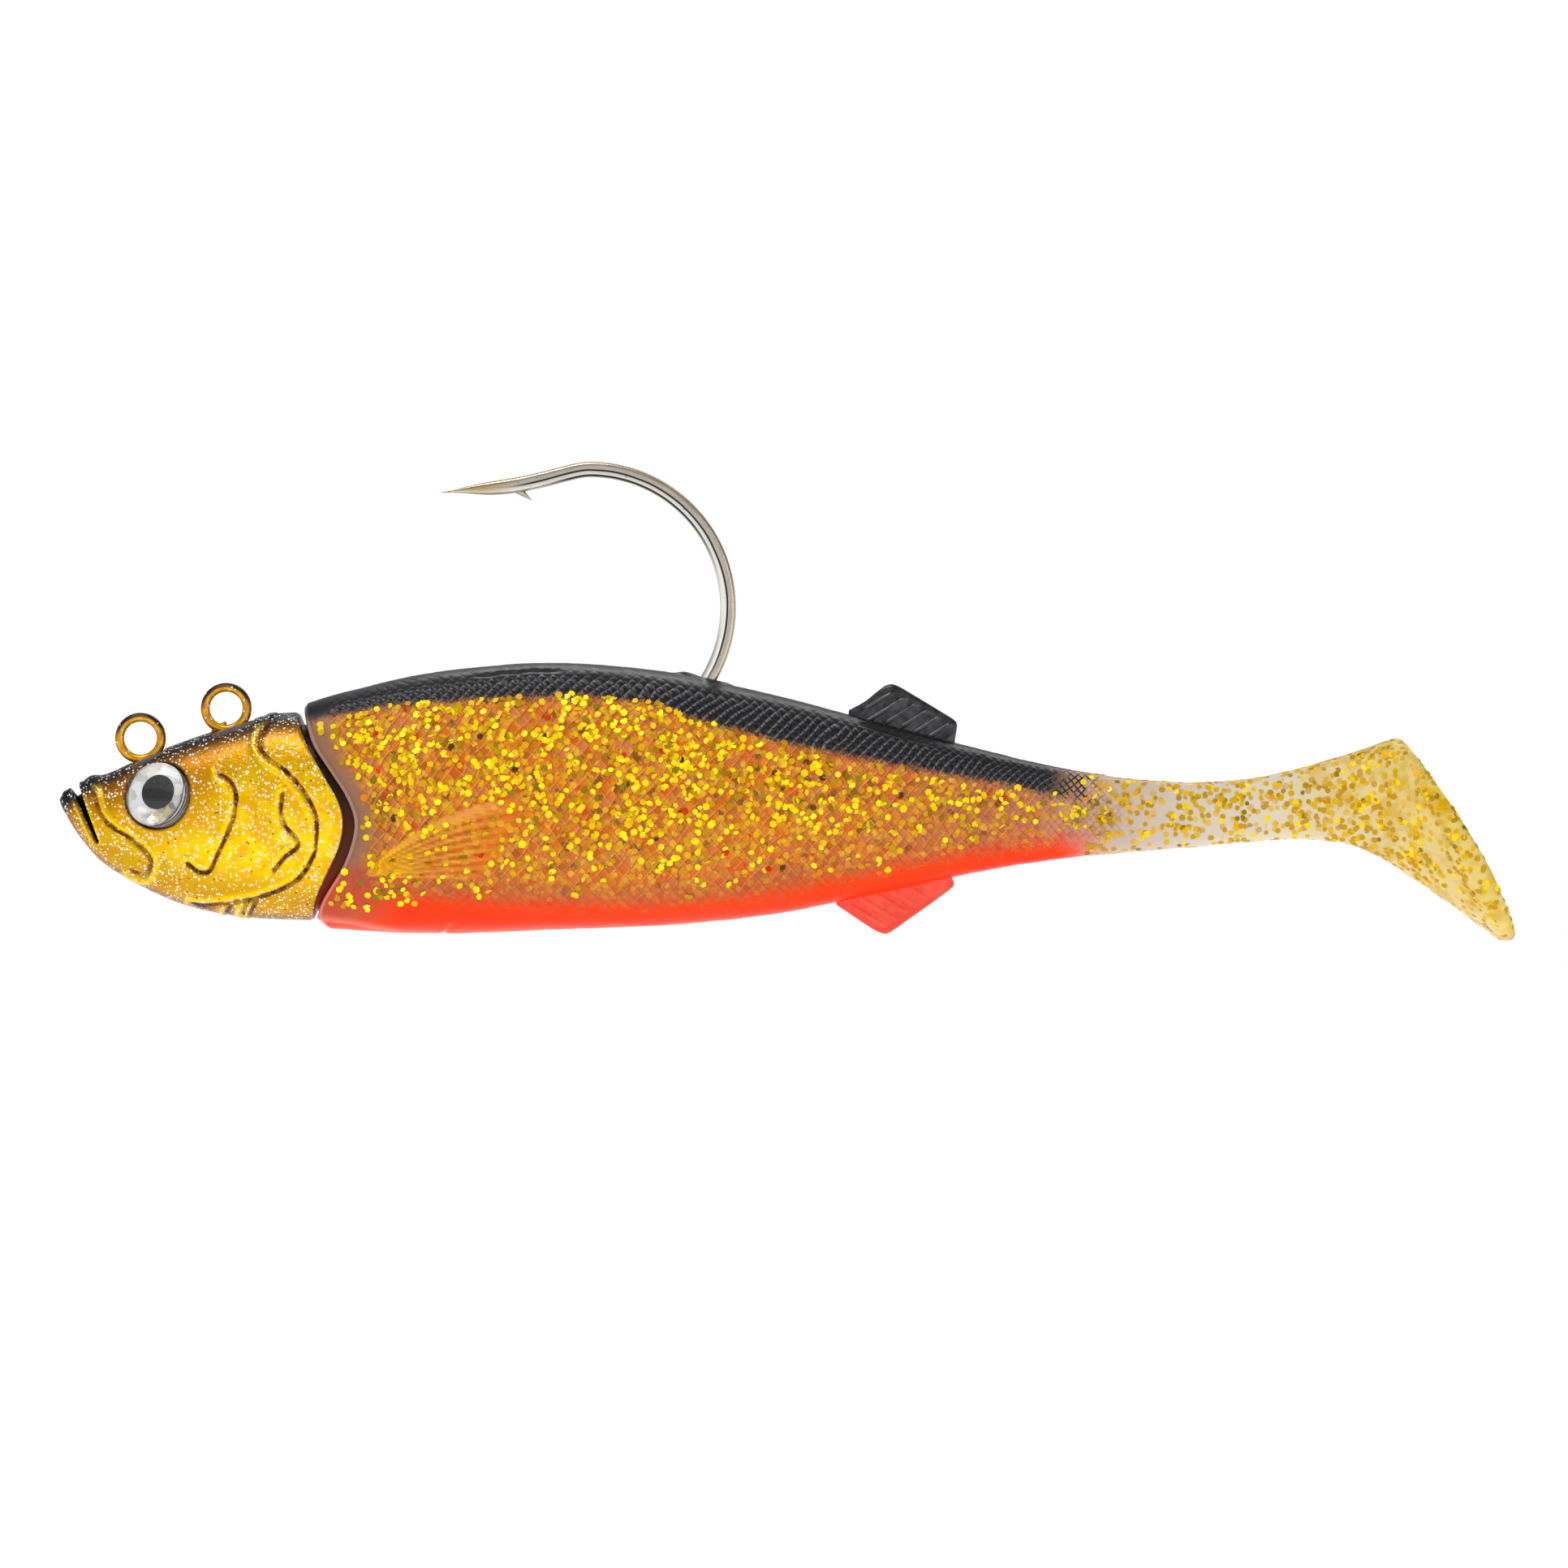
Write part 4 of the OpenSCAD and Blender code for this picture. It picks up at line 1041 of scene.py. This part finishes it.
def tie_material():
    g = Nodes("tie_lacquer")
    co = g.add("VectorMath", {0: g.add("TexCoord", out="Object"), "Scale": 1000.0}, operation="SCALE")
    x, y, z = g.split(co)
    n = g.noise(co, 0.9, 3)
    col = g.mix(g.step(n, 0.3, 0.7), (0.86, 0.42, 0.002, 1), (0.62, 0.24, 0.002, 1))
    d, c = g.voronoi(co, 2.2)
    cr, cg, cb = g.split(c)
    first = g.math("LESS_THAN", x, (NOSE_TIE[0] + TOP_TIE[0]) / 2)
    for at, mine in ((NOSE_TIE, first), (TOP_TIE, g.rest_of(first))):
        off = g.add("VectorMath", {0: co, 1: (-at[0], 0.0, -at[1])})
        dx, dy, dz = g.split(off)
        r = g.add("VectorMath", {0: g.add("CombineXYZ", {0: dx, 2: dz})}, out=1, operation="LENGTH")
        crown = g.mul(g.step(g.plus(dz, g.mul(n, 2.0)), 0.2, 3.0), g.step(r, 3.15, 3.5))
        # darker brown at the wire's inner and outer edges: painted shade
        edge_shade = g.mul(g.most(g.step(r, 3.55, 3.8), g.step(r, 2.75, 2.55)), 0.7)
        col = g.mix(g.mul(edge_shade, mine), col, (0.13, 0.045, 0.006, 1))
        col = g.mix(g.mul(crown, mine), col, (0.024, 0.020, 0.022, 1))
    spot = g.mul(g.step(d, 0.36, 0.32), g.math("LESS_THAN", cr, 0.16))
    col = g.mix(g.mul(spot, 0.85), col, plain(246, 242, 236))
    return g.surface(Base_Color=col, Roughness=g.span(n, 0.2, 0.8, 0.22, 0.4),
                     Metallic=g.less(0.6, g.mul(spot, 0.6)), Normal=g.bump(n, 0.00008, 0.5), Coat_Weight=0.2,
                     Coat_Roughness=0.1, Specular_IOR_Level=0.3)


tie_mat = tie_material()
END = [(10.9, 0.9, 0.30), (11.15, 1.12, 0.52), (11.8, 1.5, 0.60), (12.7, 1.85, 0.60), (13.15, 2.05, 0.56),
       (13.25, 2.1, 0.40)]
turns = np.linspace(0, 2 * math.pi, 24, endpoint=False)
cut = np.array([[(ex, er * math.cos(a), ez + er * math.sin(a)) for a in turns] for ex, ez, er in END])
wire_end = closed_loft("tie_wire_end", cut, {"rest": cut})
on_head(wire_end, tie_mat)
for node in ("nose_line_tie", "top_line_tie"):
    paint(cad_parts[node], tie_mat)

# ---------------------------------------------------------------- hook
BEND_C, BEND_R, SLOPE = np.array([69.2, 20.1]), 21.3, math.radians(6)
WIRE, FLAT = 2.4, 1.9
SHANK_R = WIRE / 2 - 0.05
spear = [[46.3, 37.85], [50, 38.2], [54, 38.5], [58, 39], [62, 39.85], [65, 40.62], [67.3, 41.17],
         [68.5, 41.36], [69.2, 41.4]]
spear_h = [[46.3, 0.04], [49.6, 0.36], [51.6, 0.62], [54, 0.86], [57, 0.97], [70, 1]]


def wire_section(n, h, w, forged):
    """Round wire (forged 0) to flat-sided wire (forged 1); u in the plane of the bend, v across."""
    a = 2 * math.pi * (np.arange(n) + 0.5) / n
    flat = 1 / np.maximum(np.abs(np.cos(a)) ** 5.5 + np.abs(np.sin(a)) ** 2.6, 1e-9) ** (1 / 3.4)
    k = 1 + (flat - 1) * forged
    return h * np.sin(a) * k, w * np.cos(a) * np.minimum(k, 1 / np.maximum(np.abs(np.cos(a)), 1e-6))


def wire_ring(p, ang, h, w, forged, n=40):
    u, v = wire_section(n, h, w, forged)
    return np.stack([p[0] + u * math.cos(ang), v, p[1] + u * math.sin(ang)], 1)


hook_rings, hook_run = [], []
for t in np.linspace(0, 1, 60)[:-1]:
    x = 46.3 + (BEND_C[0] - 46.3) * t**1.2
    ang = math.atan2(float(curve(spear, x + 0.05) - curve(spear, x - 0.05)), 0.1) + math.pi / 2
    f = float(curve(spear_h, x))
    hook_rings.append(wire_ring((x, float(curve(spear, x))), ang, WIRE / 2 * f, FLAT / 2 * f,
                                min(1, 0.3 + t)))
    hook_run.append(x - 46.3)
for t in np.linspace(0, 1, 130):
    ang = math.pi / 2 - (math.pi - SLOPE) * t
    forged = 1 - float(ease((t - 0.92) / 0.08))
    hook_rings.append(wire_ring(BEND_C + BEND_R * np.array([math.cos(ang), math.sin(ang)]), ang, WIRE / 2,
                                FLAT / 2 + (SHANK_R - FLAT / 2) * (1 - forged), forged))
    hook_run.append(22.9 + 63.3 * t)
shank_end = BEND_C + BEND_R * np.array([math.sin(SLOPE), -math.cos(SLOPE)])
for d in np.linspace(2, 63.5, 30):
    hook_rings.append(wire_ring(shank_end - d * np.array([math.cos(SLOPE), math.sin(SLOPE)]),
                                -math.pi / 2 + SLOPE,
                                SHANK_R, SHANK_R, 0))
    hook_run.append(86.2 + d)
K = np.array(hook_rings)
KR = np.repeat(np.array(hook_run)[:, None], K.shape[1], 1)
u_, v_ = wire_section(40, 1, 1, 1)
KU = np.repeat(u_[None, :], len(K), 0)
hook = closed_loft("forged_hook", K, {"rest": K, "wire": np.stack([KR, KU, K[..., 1]], -1)})
hook.data.set_sharp_from_angle(angle=math.radians(40))
# barb: a thin blade that rises from the inside of the spear towards the bend (X, bottom, top, half width)
BARB = [(56.4, 38.4, 38.7, 0.05), (57.2, 37.98, 38.8, 0.32), (58.0, 37.6, 38.8, 0.42),
        (58.8, 37.25, 38.5, 0.38), (59.4, 36.98, 37.75, 0.28), (59.9, 36.78, 37.12, 0.16),
        (60.25, 36.6, 36.68, 0.04)]
B = np.array([[(bx, half * math.cos(a), (lo + hi) / 2 + (hi - lo) / 2 * math.sin(a))
               for a in np.linspace(0, 2 * math.pi, 16, endpoint=False)] for bx, lo, hi, half in BARB])
barb_wire = np.stack([B[..., 0] * 0 + 2, B[..., 1] * 0, B[..., 1]], -1)
barb = closed_loft("hook_barb", B, {"rest": B, "wire": barb_wire})


def steel_material():
    g = Nodes("hook_stainless")
    rest, wire = g.attr("rest"), g.attr("wire")
    run, u, v = g.split(wire)
    along_ = g.add("CombineXYZ", {0: g.mul(run, 0.25), 1: g.mul(u, 2.0), 2: v})
    n, fine = g.noise(along_, 1.2, 4, 0.6), g.noise(rest, 6.0, 3, 0.7)
    col = g.mix(n, plain(160, 153, 140), plain(206, 200, 188))
    # near-white band along the inner face, stronger towards the bend: painted highlight
    inner = g.mul(g.step(u, -0.12, -0.2), g.step(u, -0.98, -0.88))
    lit = g.span(run, 30.0, 62.0, 0.35, 0.95)
    col = g.mix(g.mul(inner, lit), col, plain(252, 249, 242))
    tan = g.mul(g.most(g.step(u, 0.62, 0.95), g.step(run, 13.0, 3.0)), 0.8)
    tan = g.mul(tan, g.span(g.math("ABSOLUTE", v), 0.3, 0.8, 0.35, 1.0))
    col = g.mix(tan, col, g.mix(g.step(fine, 0.4, 0.6), plain(150, 122, 74), plain(206, 164, 60)))
    # thin dark lines along the inner bevels and inner edge: painted dark reflection
    band_n = g.mul(g.less(g.noise(g.add("CombineXYZ", {0: run}), 0.12, 2), 0.5), 0.5)
    painted_dark_line = g.step(g.math("ABSOLUTE", g.plus(u, 0.12, g.mul(band_n, 0.5))), 0.16, 0.08)
    painted_dark_line = g.mul(painted_dark_line, g.mul(g.step(run, 9.0, 14.0), g.step(run, 78.0, 60.0)))
    second_dark_line = g.step(g.math("ABSOLUTE", g.plus(u, 0.78)), 0.17, 0.09)
    second_dark_line = g.mul(second_dark_line, g.mul(g.step(run, 14.0, 20.0), g.step(run, 56.0, 40.0)))
    painted_dark_line = g.most(painted_dark_line, second_dark_line, g.step(u, -0.92, -0.98))
    col = g.mix(g.mul(painted_dark_line, 0.95), col, plain(26, 22, 20))
    d, c = g.voronoi(rest, 1.1)
    pit = g.mul(g.step(d, 0.10, 0.16, flip=True), g.math("LESS_THAN", g.split(c)[0], 0.3))
    col = g.mix(g.mul(pit, 0.7), col, plain(96, 84, 66))
    rough = g.span(g.plus(n, g.mul(fine, 0.4)), 0.4, 1.0, 0.2, 0.36)
    return g.surface(Base_Color=col, Metallic=1.0, Roughness=rough,
                     Normal=g.bump(g.plus(n, fine), 0.00003, 0.5))


steel = steel_material()
on_head(hook, steel, "hook")
on_head(barb, steel)


# ---------------------------------------------------------------- fins
def fin(name, root, tip, body, side_up, rays, rib, mat, slot, cad):
    """Blade ruled between its root line and its edge, thin at the edge, with moulded rays."""
    n_s, n_t = 90, 60
    r0, t0 = np.array(smooth_path(root, 12)), np.array(smooth_path(tip, 24))

    def along_line(pts, m):
        run = np.concatenate([[0], np.cumsum(np.hypot(*np.diff(pts, axis=0).T))])
        at = np.linspace(0, run[-1], m)
        return np.stack([np.interp(at, run, pts[:, 0]), np.interp(at, run, pts[:, 1])], 1)

    a, b = along_line(r0, n_s), along_line(t0, n_s)
    t = np.linspace(0, 1, n_t)[:, None, None]
    mesh = a[None] * (1 - t) + b[None] * t                  # (n_t, n_s, 2)
    s = np.linspace(0, 1, n_s)[None, :]
    edge_in = np.minimum(np.minimum(s * 14, (1 - s) * 14), np.minimum((1 - t[..., 0]) * 14, 1.0))
    thick = (0.72 - 0.3 * t[..., 0]) * np.sqrt(np.clip(edge_in, 0, 1))
    wave = np.cos((mesh[..., 0] * rays[1] - mesh[..., 1] * rays[0]) * 2 * math.pi / rays[2])
    wave = np.maximum(wave, 0) ** 2 * ease((t[..., 0] - 0.10) * 6) * ease((0.90 - t[..., 0]) * 6)
    wave = wave * ease((s - 0.08) * 8) * ease((0.93 - s) * 8)
    thick = np.maximum(thick + rib * wave * np.clip(edge_in, 0, 1), 0.02)
    left = np.stack([mesh[..., 0], -thick, mesh[..., 1]], -1).reshape(-1, 3)
    right = np.stack([mesh[..., 0], thick, mesh[..., 1]], -1).reshape(-1, 3)
    verts = np.vstack([left, right])
    off = n_t * n_s
    faces = []
    for i in range(n_t - 1):
        for k in range(n_s - 1):
            q = i * n_s + k
            faces.append((q, q + 1, q + n_s + 1, q + n_s))
            faces.append((off + q, off + q + n_s, off + q + n_s + 1, off + q + 1))
    border = [k for k in range(n_s)] + [(i + 1) * n_s - 1 for i in range(1, n_t)]
    border += [off_ for off_ in range(n_t * n_s - 2, (n_t - 1) * n_s - 1,
                                      -1)] + [i * n_s for i in range(n_t - 2, 0, -1)]
    for q, q2 in zip(border, border[1:] + border[:1]):
        faces.append((q2, q, off + q, off + q2))
    if side_up < 0:
        faces = [f[::-1] for f in faces]
    tt = np.tile(np.repeat(np.linspace(0, 1, n_t), n_s), 2)
    ss = np.tile(np.tile(np.linspace(0, 1, n_s), n_t), 2)
    ob = new_object(name, verts, faces, {"rest": verts, "blade": np.stack([ss, tt, np.tile(wave.ravel(), 2)],
                    -1)})
    paint(ob, mat)
    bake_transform(ob)
    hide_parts(cad)
    return ob


def fin_material(name, dark, mid_, light):
    g = Nodes(name)
    rest, blade = g.attr("rest"), g.attr("blade")
    s, t, wave = g.split(blade)
    n = g.noise(rest, 0.8, 3)
    col = g.mix(g.step(n, 0.3, 0.75), mid_, light)
    rim = g.most(g.step(t, 0.82, 0.97), g.step(s, 0.93, 0.99))
    col = g.mix(g.mul(rim, 0.6), col, dark)
    # lighter along the moulded rays: painted highlight
    col = g.mix(g.mul(g.step(wave, 0.2, 0.9), 0.35), col, light)
    return g.surface(Base_Color=col, Roughness=g.span(n, 0.2, 0.8, 0.22, 0.36),
                     Normal=g.bump(g.noise(rest, 2.0, 3), 0.00006, 0.5), Subsurface_Weight=0.08,
                     Subsurface_Scale=0.0008)


fin("dorsal_blade", [(108.9, 2.4), (117, 0.3), (125.6, -1.9)],
    [(109.1, 4.3), (111.6, 5.7), (113.6, 7.3), (115.0, 8.2), (116.4, 8.15), (119.5, 6.4), (122.8, 4.4),
     (125.2, 2.9), (125.75, 2.1), (125.6, 0.7), (125.35, -0.4)], "dorsal_fin", 1, (0.85, 0.52, 1.75), 0.28,
    fin_material("fin_black", rgb(30, 29, 33), rgb(38, 37, 42), rgb(78, 76, 80)), "dorsal_fin_plastic",
    "dorsal_fin")
fin("anal_blade", [(106.9, -23.9), (115, -22.2), (124.6, -19.9)],
    [(107.2, -25.7), (110.0, -27.6), (112.6, -29.3), (114.2, -30.05), (115.4, -29.9), (118.6, -27.7),
     (122, -25.3), (124.9, -23.1), (125.3, -22.4), (124.9, -21.4), (124.4, -20.9)], "anal_fin", -1,
    (0.85, -0.52, 1.75), 0.12, fin_material("fin_red", (0.78, 0.022, 0.006, 1), (0.90, 0.040, 0.010, 1),
                                            (0.94, 0.085, 0.035, 1)), "anal_fin_plastic", "anal_fin")

# ---------------------------------------------------------------- floor
FLOOR_Z = -0.135
floor_me = bpy.data.meshes.new("floor")
floor_me.from_pydata([(-8, -8, FLOOR_Z), (8, -8, FLOOR_Z), (8, 8, FLOOR_Z), (-8, 8, FLOOR_Z)], [],
                     [(0, 1, 2, 3)])
floor = bpy.data.objects.new("floor", floor_me)
scene.collection.objects.link(floor)
fg = Nodes("floor_paper")
fn = fg.noise(fg.add("TexCoord", out="Object"), 300.0, 2)
paint(floor, fg.surface(Base_Color=fg.mix(fn, (0.58, 0.58, 0.58, 1), (0.60, 0.60, 0.60, 1)), Roughness=0.9,
                        Emission_Color=(1.0, 1.0, 1.0, 1), Emission_Strength=0.74))
